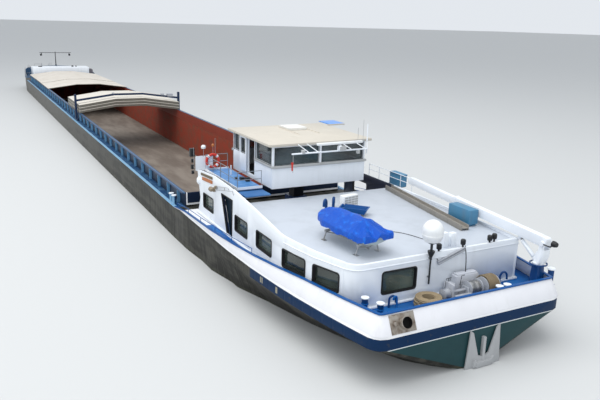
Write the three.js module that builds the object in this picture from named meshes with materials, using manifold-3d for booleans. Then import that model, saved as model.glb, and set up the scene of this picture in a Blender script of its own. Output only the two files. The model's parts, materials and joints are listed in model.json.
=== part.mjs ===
// River barge: a self-propelled inland dry-cargo vessel of 110 m by 11.45 m, built as a 1:10 scale model.
// Millimetres. +X points to the bow, +Y to port, +Z up. The origin is the centre of the flat bottom.
// Places along the hull are given as a distance forward of the transom, heights as a height above the waterline.
import * as THREE from "three";
import { mergeVertices } from "three/addons/utils/BufferGeometryUtils.js";
import Module from "manifold-3d";

const wasm = await Module();
wasm.setup();

// Hull
const LENGTH = 11000;
const HALF_BEAM = 572.5;
const WATERLINE = 175;
const STERN_END = 1850; // where the engine room ends and the hold starts
const BOW_START = 10000; // where the hold ends
const BOTTOM_TOP = 50; // height of the double bottom
const HOLD_HALF = 503;
const SIDE_DECK = 360;
const AFT_DECK = 380;
const FORE_DECK = 390;
const KNUCKLE = [328, 371]; // lower and upper edge of the dark stripe
const TRANSOM_HALF = 437;
const TAPER_RUN = 1250; // length over which the stern widens to the full beam
const TAPER_POWER = 2.2;
const CORNER = 45; // radius of the transom's corners
const PLATE = 3; // deck plating laid on the hull
const BULWARK_THICK = 4;

// Hold edge
const COAMING_TOP = 443;
const COAMING_WEB = 4;
const FLANGE_WIDTH = 24;
const FLANGE_THICK = 6;
const STAY_PITCH = 207;
const STAY_THICK = 5;

// Hatch covers
const COVER_HALF = 522;
const COVER_FLAT = 150; // half-width of the flat middle
const CLOSED_RISE = 50;
const STACK_RISE = 55;
const COVER_THICK = 7;
const COVER_LENGTH = 760;
const CLOSED_START = 7700;
const CLOSED_COUNT = 3;
const STACK = { start: 5250, length: 740, count: 3, pitch: 30, slab: 25, inset: 8 };

// Accommodation
const WALL = 12;
const HOUSE_AFT = 210;
const HOUSE_FORE = 1152; // fore edge of the car deck
const HOUSE_END = 1655; // fore end of the side walls
const ROOF_TOP = 378;
const ROOF_THICK = 12;
const CURB_TOP = 388;
const SILL = 262;
const HEAD = 338;
const GLASS = 2;

// Wheelhouse
const CABIN_CENTRE = 1455;
const CABIN_BOTTOM = 420;
const CABIN_HALF = [255, 270];
const CABIN_HEIGHT = 215;
const CABIN_WALL = 9;
const PANE = [118, 206]; // sill and head of the windows above the cabin's bottom edge
const DOORWAY = [-35, 45];

// Fit between pieces that rest on one another, and the heights that pieces stand at
const GAP = 0.3;
const DECK_TOP = AFT_DECK + GAP + PLATE;
const DECK_SEAT = DECK_TOP + GAP;
const FORE_TOP = FORE_DECK + GAP + PLATE;
const FORE_SEAT = FORE_TOP + GAP;

const station = (distance) => distance - LENGTH / 2;
const above = (height) => WATERLINE + height;
const ROOF_SEAT = above(ROOF_TOP) + GAP;
const radians = THREE.MathUtils.degToRad;

// Solid shapes

const X_AXIS = new THREE.Vector3(1, 0, 0);
const Y_AXIS = new THREE.Vector3(0, 1, 0);
const Z_AXIS = new THREE.Vector3(0, 0, 1);

// A box between its lowest and highest value along each axis.
function box(x, y, z) {
  const geometry = new THREE.BoxGeometry(x[1] - x[0], y[1] - y[0], z[1] - z[0]);
  return geometry.translate((x[0] + x[1]) / 2, (y[0] + y[1]) / 2, (z[0] + z[1]) / 2);
}

// A flat outline pushed along an axis. Its points are [y, z] along x, [x, z] along y and [x, y] along z.
function prism(axis, outline, from, to, holes = []) {
  const points = (list) => list.map(([u, v]) => new THREE.Vector2(u, v));
  const shape = new THREE.Shape(points(outline));
  shape.holes = holes.map((hole) => new THREE.Path(points(hole)));
  const geometry = new THREE.ExtrudeGeometry(shape, { depth: to - from, bevelEnabled: false });
  if (axis === "x") {
    geometry.applyMatrix4(new THREE.Matrix4().makeBasis(Y_AXIS, Z_AXIS, X_AXIS));
    return geometry.translate(from, 0, 0);
  }
  if (axis === "y") {
    const back = Y_AXIS.clone().negate();
    geometry.applyMatrix4(new THREE.Matrix4().makeBasis(X_AXIS, Z_AXIS, back));
    return geometry.translate(0, to, 0);
  }
  return geometry.translate(0, 0, from);
}

// A rectangle with round corners, as points.
function roundedRectangle([u0, u1], [v0, v1], radius, steps = 3) {
  const corners = [
    [u1 - radius, v0 + radius, -90],
    [u1 - radius, v1 - radius, 0],
    [u0 + radius, v1 - radius, 90],
    [u0 + radius, v0 + radius, 180],
  ];
  return corners.flatMap(([u, v, start]) =>
    Array.from({ length: steps + 1 }, (_, i) => {
      const angle = radians(start + (90 * i) / steps);
      return [u + radius * Math.cos(angle), v + radius * Math.sin(angle)];
    }),
  );
}

// A round bar between two points, with another radius at its end where it tapers.
function rod(from, to, radius, sides = 8, endRadius = radius) {
  const start = new THREE.Vector3(...from);
  const end = new THREE.Vector3(...to);
  const geometry = new THREE.CylinderGeometry(endRadius, radius, start.distanceTo(end), sides);
  const turn = new THREE.Quaternion().setFromUnitVectors(Y_AXIS, end.clone().sub(start).normalize());
  const middle = start.add(end).multiplyScalar(0.5);
  return geometry.applyQuaternion(turn).translate(middle.x, middle.y, middle.z);
}

// A round pipe along a smooth curve through points.
function pipe(points, radius, sides = 8, steps = 12) {
  const curve = new THREE.CatmullRomCurve3(points.map((p) => new THREE.Vector3(...p)));
  const ring = Array.from({ length: sides }, (_, i) => {
    const angle = (2 * Math.PI * i) / sides;
    return new THREE.Vector2(radius * Math.cos(angle), radius * Math.sin(angle));
  });
  return new THREE.ExtrudeGeometry(new THREE.Shape(ring), { steps, extrudePath: curve });
}

// A profile of [radius, height] points turned about the Z axis.
function turned(profile, segments = 16) {
  const points = profile.map(([r, h]) => new THREE.Vector2(r, h));
  return new THREE.LatheGeometry(points, segments).rotateX(Math.PI / 2);
}

// A closed skin over rings of [x, y, z] points, each ring with the same number of points.
function loft(rings) {
  const size = rings[0].length;
  const positions = [];
  const triangle = (a, b, c) => positions.push(...a, ...b, ...c);
  for (let i = 0; i + 1 < rings.length; i++)
    for (let j = 0; j < size; j++) {
      const k = (j + 1) % size;
      triangle(rings[i][j], rings[i][k], rings[i + 1][k]);
      triangle(rings[i][j], rings[i + 1][k], rings[i + 1][j]);
    }
  for (const ring of [rings[0], rings[rings.length - 1]]) {
    const first = ring === rings[0];
    const flat = flatten(ring);
    for (const [a, b, c] of THREE.ShapeUtils.triangulateShape(flat, []))
      if (first) triangle(ring[c], ring[b], ring[a]);
      else triangle(ring[a], ring[b], ring[c]);
  }
  const geometry = new THREE.BufferGeometry();
  geometry.setAttribute("position", new THREE.Float32BufferAttribute(positions, 3));
  return toGeometry(toSolid(geometry));
}

// The points of a flat ring in its own plane, for the triangles that close a loft's end.
function flatten(ring) {
  const points = ring.map((p) => new THREE.Vector3(...p));
  const normal = new THREE.Vector3();
  points.forEach((p, i) => normal.add(p.clone().cross(points[(i + 1) % points.length])));
  const across = points[1].clone().sub(points[0]).normalize();
  const up = normal.normalize().clone().cross(across);
  return points.map((p) => new THREE.Vector2(p.dot(across), p.dot(up)));
}

// The manifold solid of a closed geometry, turned to face out.
function toSolid(geometry) {
  const bare = geometry.index ? geometry.toNonIndexed() : geometry;
  const skin = new THREE.BufferGeometry().setAttribute("position", bare.getAttribute("position"));
  const merged = mergeVertices(skin, 1e-3);
  const corners = Array.from(merged.index.array);
  const faces = [];
  for (let i = 0; i < corners.length; i += 3) {
    const [a, b, c] = corners.slice(i, i + 3);
    if (a !== b && b !== c && c !== a) faces.push([a, b, c]);
  }
  const build = (list) => {
    const triVerts = new Uint32Array(list.flat());
    const vertProperties = merged.attributes.position.array;
    return new wasm.Manifold(new wasm.Mesh({ numProp: 3, vertProperties, triVerts }));
  };
  const solid = build(faces);
  return solid.volume() < 0 ? build(faces.map(([a, b, c]) => [a, c, b])) : solid;
}

function toGeometry(solid) {
  const mesh = solid.getMesh();
  const positions = new Float32Array(mesh.numVert * 3);
  for (let i = 0; i < mesh.numVert; i++) {
    const start = i * mesh.numProp;
    positions.set(mesh.vertProperties.subarray(start, start + 3), i * 3);
  }
  const geometry = new THREE.BufferGeometry();
  geometry.setAttribute("position", new THREE.BufferAttribute(positions, 3));
  geometry.setIndex(new THREE.BufferAttribute(mesh.triVerts, 1));
  return geometry;
}

const join = (...parts) => toGeometry(parts.map(toSolid).reduce((all, part) => all.add(part)));
const cut = (part, ...tools) =>
  toGeometry(tools.map(toSolid).reduce((left, tool) => left.subtract(tool), toSolid(part)));
const common = (a, b) => toGeometry(toSolid(a).intersect(toSolid(b)));

// Straight-line value between the rows of a two-column table.
function between(table, at) {
  const next = table.findIndex(([x]) => x >= at);
  if (next < 0) return table[table.length - 1][1];
  if (next === 0) return table[0][1];
  const [[x0, y0], [x1, y1]] = [table[next - 1], table[next]];
  return y0 + ((y1 - y0) * (at - x0)) / (x1 - x0);
}

// A plan path moved sideways, to its left seen from above, with mitred corners.
function offset(path, distance) {
  const side = (a, b) => new THREE.Vector2(a[1] - b[1], b[0] - a[0]).normalize();
  return path.map((point, i) => {
    const before = i > 0 ? side(path[i - 1], point) : null;
    const after = i + 1 < path.length ? side(point, path[i + 1]) : null;
    const out = (before ?? after).clone().add(after ?? before).normalize();
    const reach = (Array.isArray(distance) ? distance[i] : distance) / out.dot(after ?? before);
    return [point[0] + out.x * reach, point[1] + out.y * reach];
  });
}

// A plan path given a thickness to its left.
const ribbon = (path, thickness) => [...path, ...offset(path, thickness).reverse()];

const mirrored = (path) => path.map(([x, y]) => [x, -y]);
const onStations = (path) => path.map(([s, y]) => [station(s), y]);

// Scene

const barge = new THREE.Group();
const wheelhouse = new THREE.Group();
wheelhouse.position.set(station(CABIN_CENTRE), 0, above(CABIN_BOTTOM));
barge.add(wheelhouse);

const COLOURS = {
  hull: 0x3c3d3f,
  white: 0xe9ecee,
  blue: 0x1d4e8c,
  coaming: 0x5a93c4,
  hold: 0x8d3a2c,
  cream: 0xd9d0c0,
  glass: 0x28323a,
  dark: 0x14253c,
  galvanized: 0x8f9599,
  bronze: 0xa98445,
  tan: 0xb39468,
  tarp: 0x2456c0,
  aluminium: 0xb9bdc0,
  black: 0x1b1c1e,
};

function paint(colour, roughness = 0.5, metalness = 0) {
  return new THREE.MeshStandardMaterial({ color: COLOURS[colour], roughness, metalness });
}

function addPiece(name, geometry, material, group = barge) {
  const mesh = new THREE.Mesh(geometry, material);
  mesh.name = name;
  group.add(mesh);
  return mesh;
}

// Hull

// Half-width of the deck edge near the stern, which narrows to the transom and rounds its corners.
function deckHalf(s) {
  const taper = s < TAPER_RUN ? (1 - s / TAPER_RUN) ** TAPER_POWER : 0;
  const into = s < CORNER ? 1 - s / CORNER : 0;
  const corner = CORNER * (1 - Math.sqrt(1 - into ** 2));
  return HALF_BEAM - (HALF_BEAM - TRANSOM_HALF) * taper - corner;
}

// Height of the deck edge along the stern.
const sternDeck = (s) => between([[1660, AFT_DECK], [STERN_END, SIDE_DECK]], s);

// One cross-section: flat bottom, round bilge, side up to the knuckle, stripe and deck edge.
const BILGE_STEPS = 3;
function frameRing({ s, keel, bottom, water, bilge, knuckle, deck, height }) {
  const half = [];
  for (let i = 0; i <= BILGE_STEPS; i++) {
    const angle = (Math.PI / 2) * (i / BILGE_STEPS);
    const y = bottom + (water - bottom) * Math.sin(angle);
    half.push([y, keel + (bilge - keel) * (1 - Math.cos(angle))]);
  }
  half.push([knuckle, KNUCKLE[0]], [knuckle, KNUCKLE[1] > height ? height - 3 : KNUCKLE[1]], [deck, height]);
  const port = half.map(([y, z]) => [station(s), y, z]);
  const starboard = half.map(([y, z]) => [station(s), -y, z]).reverse();
  return [...port, ...starboard];
}

// Stern frames: station, keel height, half-widths of flat bottom and waterline, top of the bilge.
const STERN_FRAMES = [
  [0, 172, 10, 24, 174],
  [8, 172, 40, 60, 174],
  [22, 171, 62, 84, 174],
  [45, 171, 78, 112, 174],
  [80, 170, 95, 148, 174],
  [140, 169, 130, 205, 174],
  [250, 168, 170, 262, 174],
  [430, 168, 210, 335, 174],
  [560, 168, 240, 380, 174],
  [800, 110, 300, 440, 170],
  [1050, 45, 380, 500, 130],
  [1300, 8, 460, 540, 80],
  [1660, 0, 530, 568, 35],
  [STERN_END, 0, 542.5, HALF_BEAM, 30],
];

const PIT_HALF = 36; // half-width of the shaft that the wheelhouse's column sinks into
const PIT_FLOOR = 80;

function hullStern() {
  const rings = STERN_FRAMES.map(([s, keel, bottom, water, bilge]) => {
    const deck = deckHalf(s);
    const flare = 4 * Math.max(0, 1 - s / TAPER_RUN);
    return frameRing({ s, keel, bottom, water, bilge, knuckle: deck + flare, deck, height: sternDeck(s) });
  });
  const skeg = box([station(600), station(1200)], [-12, 12], [60, 150]);
  const coaming = box([station(STERN_END - 12), station(STERN_END)], [-HOLD_HALF, HOLD_HALF], [350, COAMING_TOP]);
  const x = station(CABIN_CENTRE);
  const pit = box([x - PIT_HALF, x + PIT_HALF], [-PIT_HALF, PIT_HALF], [PIT_FLOOR, AFT_DECK + 20]);
  return cut(join(loft(rings), skeg, coaming), pit);
}
addPiece("hull_stern", hullStern(), paint("hull", 0.6));

// Bow frames: station, keel height, half-widths of flat bottom and waterline, top of the bilge,
// half-widths of knuckle and deck edge, deck height.
const BOW_FRAMES = [
  [BOW_START, 0, 542.5, HALF_BEAM, 30, HALF_BEAM, HALF_BEAM, SIDE_DECK],
  [10080, 0, 535, 571, 40, 572, HALF_BEAM, FORE_DECK],
  [10300, 0, 480, 548, 60, 566, 570, FORE_DECK],
  [10550, 8, 370, 470, 110, 530, 545, FORE_DECK],
  [10750, 30, 230, 350, 170, 445, 475, FORE_DECK],
  [10880, 60, 120, 230, 200, 320, 360, FORE_DECK],
  [10960, 100, 50, 120, 230, 190, 230, FORE_DECK],
  [LENGTH, 150, 12, 40, 250, 70, 90, FORE_DECK],
];

function hullBow() {
  const rings = BOW_FRAMES.map(([s, keel, bottom, water, bilge, knuckle, deck, height]) =>
    frameRing({ s, keel, bottom, water, bilge, knuckle, deck, height }),
  );
  const coaming = box([station(BOW_START), station(BOW_START + 12)], [-HOLD_HALF, HOLD_HALF], [350, COAMING_TOP]);
  return join(loft(rings), coaming);
}
addPiece("hull_bow", hullBow(), paint("hull", 0.6));

function hullBottom() {
  const radius = 30;
  const half = [[HALF_BEAM, BOTTOM_TOP]];
  for (let i = 0; i <= BILGE_STEPS; i++) {
    const angle = (Math.PI / 2) * (i / BILGE_STEPS);
    half.push([HALF_BEAM - radius + radius * Math.cos(angle), radius - radius * Math.sin(angle)]);
  }
  const outline = [...half, ...mirroredAcross(half)];
  return prism("x", outline, station(STERN_END) + GAP, station(BOW_START) - GAP);
}
function mirroredAcross(half) {
  return half.map(([y, z]) => [-y, z]).reverse();
}
addPiece("hull_bottom", hullBottom(), paint("hull", 0.6));

const BOLLARD = { radius: 11, cap: 14, height: 46, spacing: 52, foot: [19, 17] };

// A pair of mooring bollards on one foot plate, standing on a deck and turned by an angle in plan.
function bollardPair(x, y, deck, turn = 0, spacing = BOLLARD.spacing) {
  const [beyond, footY] = BOLLARD.foot;
  const footX = spacing / 2 + beyond;
  const foot = box([-footX, footX], [-footY, footY], [-1, 3]);
  const post = turned(
    [
      [0, 0],
      [BOLLARD.radius, 0],
      [BOLLARD.radius, BOLLARD.height - 6],
      [BOLLARD.cap, BOLLARD.height - 4],
      [BOLLARD.cap, BOLLARD.height],
      [0, BOLLARD.height],
    ],
    12,
  );
  const posts = [-0.5, 0.5].map((k) => post.clone().translate(k * spacing, 0, 1));
  return join(foot, ...posts).rotateZ(radians(turn)).translate(x, y, deck);
}

const RAIL_Y = 540; // middle of the track that the hatch gantry runs on
const TRACK = [4, 5]; // half-width and height of that track
const SIDE_BOLLARD = 1960;

// One side tank of the hold with the side deck on top, its gantry track and its bollards.
function hullSide(sign) {
  const across = (a, b) => (sign > 0 ? [a, b] : [-b, -a]);
  const along = [station(STERN_END) + GAP, station(BOW_START) - GAP];
  const tank = box(along, across(HOLD_HALF, HALF_BEAM), [BOTTOM_TOP + GAP, SIDE_DECK]);
  const track = box(
    [station(2060), station(BOW_START - 20)],
    across(RAIL_Y - TRACK[0], RAIL_Y + TRACK[0]),
    [SIDE_DECK - 1, SIDE_DECK + TRACK[1]],
  );
  const bollards = bollardPair(station(SIDE_BOLLARD), sign * 550, SIDE_DECK);
  return join(tank, track, bollards);
}
addPiece("hull_side_port", hullSide(1), paint("hull", 0.6));
addPiece("hull_side_starboard", hullSide(-1), paint("hull", 0.6));

// Hold coamings: a web with a top flange and a stay every two metres of the real vessel.
function coaming(sign) {
  const web = [
    [HOLD_HALF, SIDE_DECK + GAP],
    [HOLD_HALF + COAMING_WEB, SIDE_DECK + GAP],
    [HOLD_HALF + COAMING_WEB, COAMING_TOP - FLANGE_THICK],
    [HOLD_HALF + FLANGE_WIDTH, COAMING_TOP - FLANGE_THICK],
    [HOLD_HALF + FLANGE_WIDTH, COAMING_TOP],
    [HOLD_HALF, COAMING_TOP],
  ].map(([y, z]) => [sign * y, z]);
  const stay = [
    [HOLD_HALF + 2, SIDE_DECK + 1],
    [HOLD_HALF + 20, SIDE_DECK + 1],
    [HOLD_HALF + 22, COAMING_TOP - FLANGE_THICK + 2],
    [HOLD_HALF + 2, COAMING_TOP - FLANGE_THICK + 2],
  ].map(([y, z]) => [sign * y, z]);
  const parts = [prism("x", web, station(STERN_END) + GAP, station(BOW_START) - GAP)];
  for (let s = STERN_END + STAY_PITCH / 2; s < BOW_START - 40; s += STAY_PITCH)
    parts.push(prism("x", stay, station(s), station(s) + STAY_THICK));
  return join(...parts);
}
addPiece("coaming_port", coaming(1), paint("coaming", 0.5));
addPiece("coaming_starboard", coaming(-1), paint("coaming", 0.5));

// Aft deck plating with the mooring bollards and the swan-neck air pipes welded to it

// Bollard pairs on the aft deck: station, place across, turn and spacing.
const AFT_BOLLARDS = [
  [144, 368, 20, 68],
  [64, -182, 90, 40],
];
const SWAN_NECKS = [
  [178, 235],
  [182, -245],
];

// An air pipe that rises from the deck and bends over.
function swanNeck(x, y, deck, height = 46, reach = 16) {
  const route = [
    [x, y, deck - 1],
    [x, y, deck + height * 0.6],
    [x, y + reach * 0.25, deck + height],
    [x, y + reach * 0.8, deck + height],
    [x, y + reach, deck + height * 0.72],
  ];
  return pipe(route, 4, 8, 12);
}

function aftDeck() {
  const edge = offset(sternPath(), BULWARK_THICK + 3).filter(([s]) => s < 1650);
  const plate = prism("z", onStations(edge), AFT_DECK + GAP, DECK_TOP);
  const fittings = [
    ...AFT_BOLLARDS.map(([s, y, turn, spacing]) => bollardPair(station(s), y, DECK_TOP, turn, spacing)),
    ...SWAN_NECKS.map(([s, y]) => swanNeck(station(s), y, DECK_TOP)),
  ];
  const x = station(CABIN_CENTRE);
  const pit = box([x - PIT_HALF, x + PIT_HALF], [-PIT_HALF, PIT_HALF], [AFT_DECK - 9, DECK_TOP + 9]);
  return cut(join(plate, ...fittings), pit);
}
addPiece("aft_deck", aftDeck(), paint("blue", 0.5));

// Bulwark round the stern, with a cap rail

const RAIL_HEIGHTS = [
  [0, 273],
  [422, 270],
  [785, 250],
  [1400, 222],
  [1660, 212],
  [STERN_END, 190],
];

// Plan path of the deck edge from the port side round the transom to the starboard side.
function sternPath() {
  const port = [STERN_END, 1660, 1400, 1250, 1000, 785, 600, 422, 300, 200, 100, CORNER].map((s) => [s, deckHalf(s)]);
  const [, y] = port[port.length - 1];
  for (const angle of [30, 60, 90]) {
    const turn = radians(angle);
    port.push([CORNER - CORNER * Math.sin(turn), y - CORNER + CORNER * Math.cos(turn)]);
  }
  return [...port, [0, 0], ...mirrored(port).reverse()];
}

// How far the bulwark's top leans in from its foot.
const TRANSOM_LEAN = 33;
const bulwarkLean = (s) => TRANSOM_LEAN * Math.max(0, 1 - s / TAPER_RUN);

function bulwarkAft() {
  const foot = sternPath();
  const top = offset(foot, foot.map(([s]) => bulwarkLean(s)));
  const rings = foot.map(([s], i) => {
    const inner = offset(foot, BULWARK_THICK)[i];
    const innerTop = offset(top, BULWARK_THICK)[i];
    const low = sternDeck(s) + GAP;
    const high = above(between(RAIL_HEIGHTS, s));
    const at = ([a, b], z) => [station(a), b, z];
    return [at(foot[i], low), at(top[i], high), at(innerTop, high), at(inner, low)];
  });
  return loft(rings);
}
addPiece("bulwark_aft", bulwarkAft(), paint("white", 0.4));

function capRailAft() {
  const foot = sternPath();
  const top = offset(foot, foot.map(([s]) => bulwarkLean(s)));
  const outer = offset(top, -4);
  const inner = offset(top, 9);
  const rings = foot.map(([s], i) => {
    const low = above(between(RAIL_HEIGHTS, s)) + GAP;
    const at = ([a, b], z) => [station(a), b, z];
    return [at(outer[i], low), at(outer[i], low + 5), at(inner[i], low + 5), at(inner[i], low)];
  });
  return loft(rings);
}
addPiece("cap_rail_aft", capRailAft(), paint("blue", 0.4));

// Fore deck: plating, bulwark round the bow, two pairs of bollards and the mast's tabernacle, welded together

const MAST = { station: 10800, hinge: 372, top: 602, yard: [261, -267], drop: 16, radius: [8, 6] };

// Two cheeks with a pin, which hold the foot of the folding mast.
function tabernacle() {
  const x = station(MAST.station);
  const pinHeight = above(MAST.hinge);
  const cheeks = [1, -1].map((side) => {
    const y = side > 0 ? [10.3, 15] : [-15, -10.3];
    return box([x - 9, x + 9], y, [FORE_TOP - 1, pinHeight + 8]);
  });
  const web = box([x - 9, x + 9], [-14, 14], [FORE_TOP - 1, pinHeight - 24]);
  const pin = rod([x, -15, pinHeight], [x, 15, pinHeight], 2.6, 8);
  const knees = [
    box([x - 40, x + 40], [-2, 2], [FORE_TOP - 1, FORE_TOP + 30]),
    box([x - 3, x + 3], [-40, 40], [FORE_TOP - 1, FORE_TOP + 30]),
  ];
  return [...cheeks, web, pin, ...knees];
}

function bulwarkBow() {
  const port = BOW_FRAMES.slice(1).map(([s, , , , , , deck]) => [s, deck]);
  port.splice(-1, 1, [LENGTH - 8, 96], [LENGTH, 60]);
  const foot = [...port, [LENGTH, 0], ...mirrored(port).reverse()];
  const inner = offset(foot, -BULWARK_THICK);
  const height = (s) => between([[10080, 6], [10300, 40], [10600, 112], [LENGTH, 135]], s);
  const rings = foot.map(([s], i) => {
    const at = ([a, b], z) => [station(a), b, z];
    const high = FORE_DECK + height(s);
    const low = FORE_DECK + GAP;
    return [at(foot[i], low), at(foot[i], high), at(inner[i], high), at(inner[i], low)];
  });
  const plate = prism("z", onStations(offset(foot, -2)), FORE_DECK + GAP, FORE_TOP);
  const bollards = [1, -1].map((sign) => bollardPair(station(10640), sign * 410, FORE_TOP));
  return join(loft(rings), plate, ...bollards, ...tabernacle());
}
addPiece("bulwark_bow", bulwarkBow(), paint("blue", 0.5));

// Hatch covers

// Cross-section of a cambered cover: a slab that follows the camber.
function coverSection(half, low, thick, rise) {
  const camber = [
    [half, 0],
    [COVER_FLAT, rise],
    [-COVER_FLAT, rise],
    [-half, 0],
  ];
  const upper = camber.map(([y, z]) => [y, low + thick + z]);
  const lower = camber.map(([y, z]) => [y, low + z]).reverse();
  return [...upper, ...lower];
}

function closedCovers() {
  const parts = [];
  for (let i = 0; i < CLOSED_COUNT; i++) {
    const from = station(CLOSED_START + i * COVER_LENGTH);
    const low = COAMING_TOP + GAP + (i % 2) * 3;
    parts.push(prism("x", coverSection(COVER_HALF, low, COVER_THICK, CLOSED_RISE), from, from + COVER_LENGTH + 6));
  }
  return join(...parts);
}
addPiece("hatch_covers_closed", closedCovers(), paint("cream", 0.6));

function coverStack() {
  const from = station(STACK.start);
  const parts = [];
  for (let i = 0; i < STACK.count; i++) {
    const low = COAMING_TOP + GAP + i * STACK.pitch;
    parts.push(prism("x", coverSection(COVER_HALF, low, STACK.slab, STACK_RISE), from, from + STACK.length));
  }
  const height = (STACK.count - 1) * STACK.pitch + 2;
  const section = coverSection(COVER_HALF - STACK.inset, COAMING_TOP + 2, height, STACK_RISE);
  parts.push(prism("x", section, from + STACK.inset, from + STACK.length - STACK.inset));
  return join(...parts);
}
addPiece("hatch_stack", coverStack(), paint("cream", 0.6));

// Hatch gantry: a cambered beam on two legs that run on the side decks

const GANTRY = { station: 5340, leg: [-7.5, 12.5], legLength: 28, top: 450, beam: 18, clear: 24, bogie: 62 };

function gantryFrame() {
  const x = station(GANTRY.station);
  const half = GANTRY.legLength / 2;
  const stackTop = COAMING_TOP + (STACK.count - 1) * STACK.pitch + STACK.slab;
  const beamLow = stackTop + GANTRY.clear;
  const section = coverSection(RAIL_Y + GANTRY.leg[1], beamLow, GANTRY.beam, STACK_RISE);
  const parts = [prism("x", section, x - half, x + half)];
  for (const sign of [1, -1]) {
    const y = sign * RAIL_Y;
    const foot = SIDE_DECK + TRACK[1] + GAP;
    const across = GANTRY.leg.map((d) => sign * (RAIL_Y + d)).sort((a, b) => a - b);
    parts.push(box([x - half, x + half], across, [foot + 8, above(GANTRY.top)]));
    const bogie = roundedRectangle([x - GANTRY.bogie, x + GANTRY.bogie], [foot + 2, foot + 20], 6, 2);
    parts.push(prism("y", bogie, y + GANTRY.leg[0], y - GANTRY.leg[0]));
    for (const end of [-1, 1]) {
      const wheelX = x + end * (GANTRY.bogie - 14);
      parts.push(rod([wheelX, y - 6, foot + 11], [wheelX, y + 6, foot + 11], 11, 16));
      const brace = rod([wheelX, y, foot + 16], [x, y, foot + 80], 3, 6);
      parts.push(brace);
    }
  }
  return join(...parts);
}
addPiece("gantry_frame", gantryFrame(), paint("blue", 0.5));

// Accommodation

// Outer plan of the house, from the port wall's fore end round the aft corner to the starboard fore end.
const PORT_SIDE = [
  [HOUSE_END, 500],
  [600, 500],
  [520, 490],
  [400, 470],
  [256, 425],
];
const AFT_CORNER = [
  [232, 412],
  [216, 392],
  [HOUSE_AFT, 366],
];
const STARBOARD_CORNER = -394;
const STARBOARD_SIDE = [
  [HOUSE_AFT, STARBOARD_CORNER],
  [449, -422],
  [1150, -446],
  [HOUSE_END, -446],
];
const HOUSE_PLAN = [...PORT_SIDE, ...AFT_CORNER, ...STARBOARD_SIDE];
const HOUSE_INSIDE = offset(HOUSE_PLAN, WALL);
const CORNER_POINT = PORT_SIDE.length - 1;

// A point moved towards another by a distance.
function shifted([x0, y0], [x1, y1], distance) {
  const k = distance / Math.hypot(x1 - x0, y1 - y0);
  return [x0 + (x1 - x0) * k, y0 + (y1 - y0) * k];
}

// The house's plan moved inwards and cut off square at a fore station on both sides.
function houseLine(inset, fore) {
  const line = offset(HOUSE_PLAN, inset);
  const port = line[0][1];
  const starboard = line[line.length - 1][1];
  const middle = line.slice(1, -1).filter(([s]) => s < fore);
  const [s0, y0] = line[line.length - 3];
  const [s1, y1] = line[line.length - 2];
  const meets = fore < s1 ? y0 + ((y1 - y0) * (fore - s0)) / (s1 - s0) : starboard;
  return [[fore, port], ...middle, [fore, meets]];
}

// Windows of the long sides: start and end station.
const SIDE_WINDOWS = [
  [1412, 1562],
  [970, 1120],
  [712, 870],
  [452, 610],
  [276, 405],
];
const WINDOW_CORNER = 9;
const windowHole = ([from, to]) =>
  roundedRectangle([station(from), station(to)], [above(SILL), above(HEAD)], WINDOW_CORNER, 2);

// Top edge of the port side wall: a low curb that rises into the screen beside the wheelhouse.
const SCREEN = [
  [230, CURB_TOP],
  [640, 392],
  [774, 410],
  [960, 433],
  [1186, 458],
  [1396, 465],
  [1600, 450],
  [HOUSE_END, 442],
];
const SIDE_DOORWAY = [
  [1160, 212],
  [1216, 212],
  [1290, 398],
  [1152, 398],
];
const heightPoint = ([s, h]) => [station(s), above(h)];

function housePort() {
  const inside = HOUSE_INSIDE.slice(0, PORT_SIDE.length).reverse();
  const blank = prism("z", onStations([...PORT_SIDE, ...inside]), DECK_SEAT, above(480));
  const foreEdge = [
    [1612, 300],
    [1650, 209],
  ];
  const outline = [...SCREEN, ...foreEdge].map(heightPoint);
  outline.push([station(1650), DECK_TOP - 1], [station(230), DECK_TOP - 1]);
  const holes = [...SIDE_WINDOWS.map(windowHole), SIDE_DOORWAY.map(heightPoint)];
  return common(blank, prism("y", outline, 380, 520, holes));
}
addPiece("house_wall_port", housePort(), paint("white", 0.4));

function houseStarboard() {
  const plan = onStations(ribbon(STARBOARD_SIDE, WALL));
  const blank = prism("z", plan, DECK_SEAT, above(CURB_TOP));
  const along = [station(200), station(HOUSE_END + 5)];
  const outline = [
    [along[0], DECK_TOP - 1],
    [along[1], DECK_TOP - 1],
    [along[1], above(400)],
    [along[0], above(400)],
  ];
  return common(blank, prism("y", outline, -470, -340, SIDE_WINDOWS.map(windowHole)));
}
addPiece("house_wall_starboard", houseStarboard(), paint("white", 0.4));

const AFT_WINDOW = [128, 285];

function houseAft() {
  const [outer, inner] = [HOUSE_PLAN, HOUSE_INSIDE].map((line) => [
    shifted(line[CORNER_POINT], line[CORNER_POINT + 1], 2 * GAP),
    ...line.slice(CORNER_POINT + 1, CORNER_POINT + 1 + AFT_CORNER.length),
  ]);
  const end = STARBOARD_CORNER + WALL + GAP;
  const plan = [...outer, [HOUSE_AFT, end], [HOUSE_AFT + WALL, end], ...inner.reverse()];
  const blank = prism("z", onStations(plan), DECK_SEAT, above(CURB_TOP));
  const hole = roundedRectangle(AFT_WINDOW, [above(256), above(344)], WINDOW_CORNER, 2);
  const tool = prism("x", hole, station(HOUSE_AFT - 20), station(HOUSE_AFT + 30));
  return cut(blank, tool);
}
addPiece("house_wall_aft", houseAft(), paint("white", 0.4));

const INNER_DOORWAY = [300, 380];

function houseFore() {
  const sides = [-446 + WALL + 3 * GAP, 500 - WALL - GAP];
  const top = above(ROOF_TOP - ROOF_THICK) - GAP;
  const wall = box([station(HOUSE_FORE - WALL), station(HOUSE_FORE)], sides, [DECK_SEAT, top]);
  const door = box([station(1130), station(1160)], INNER_DOORWAY, [DECK_SEAT + 5, above(350)]);
  return cut(wall, door);
}
addPiece("house_wall_fore", houseFore(), paint("white", 0.4));

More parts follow.
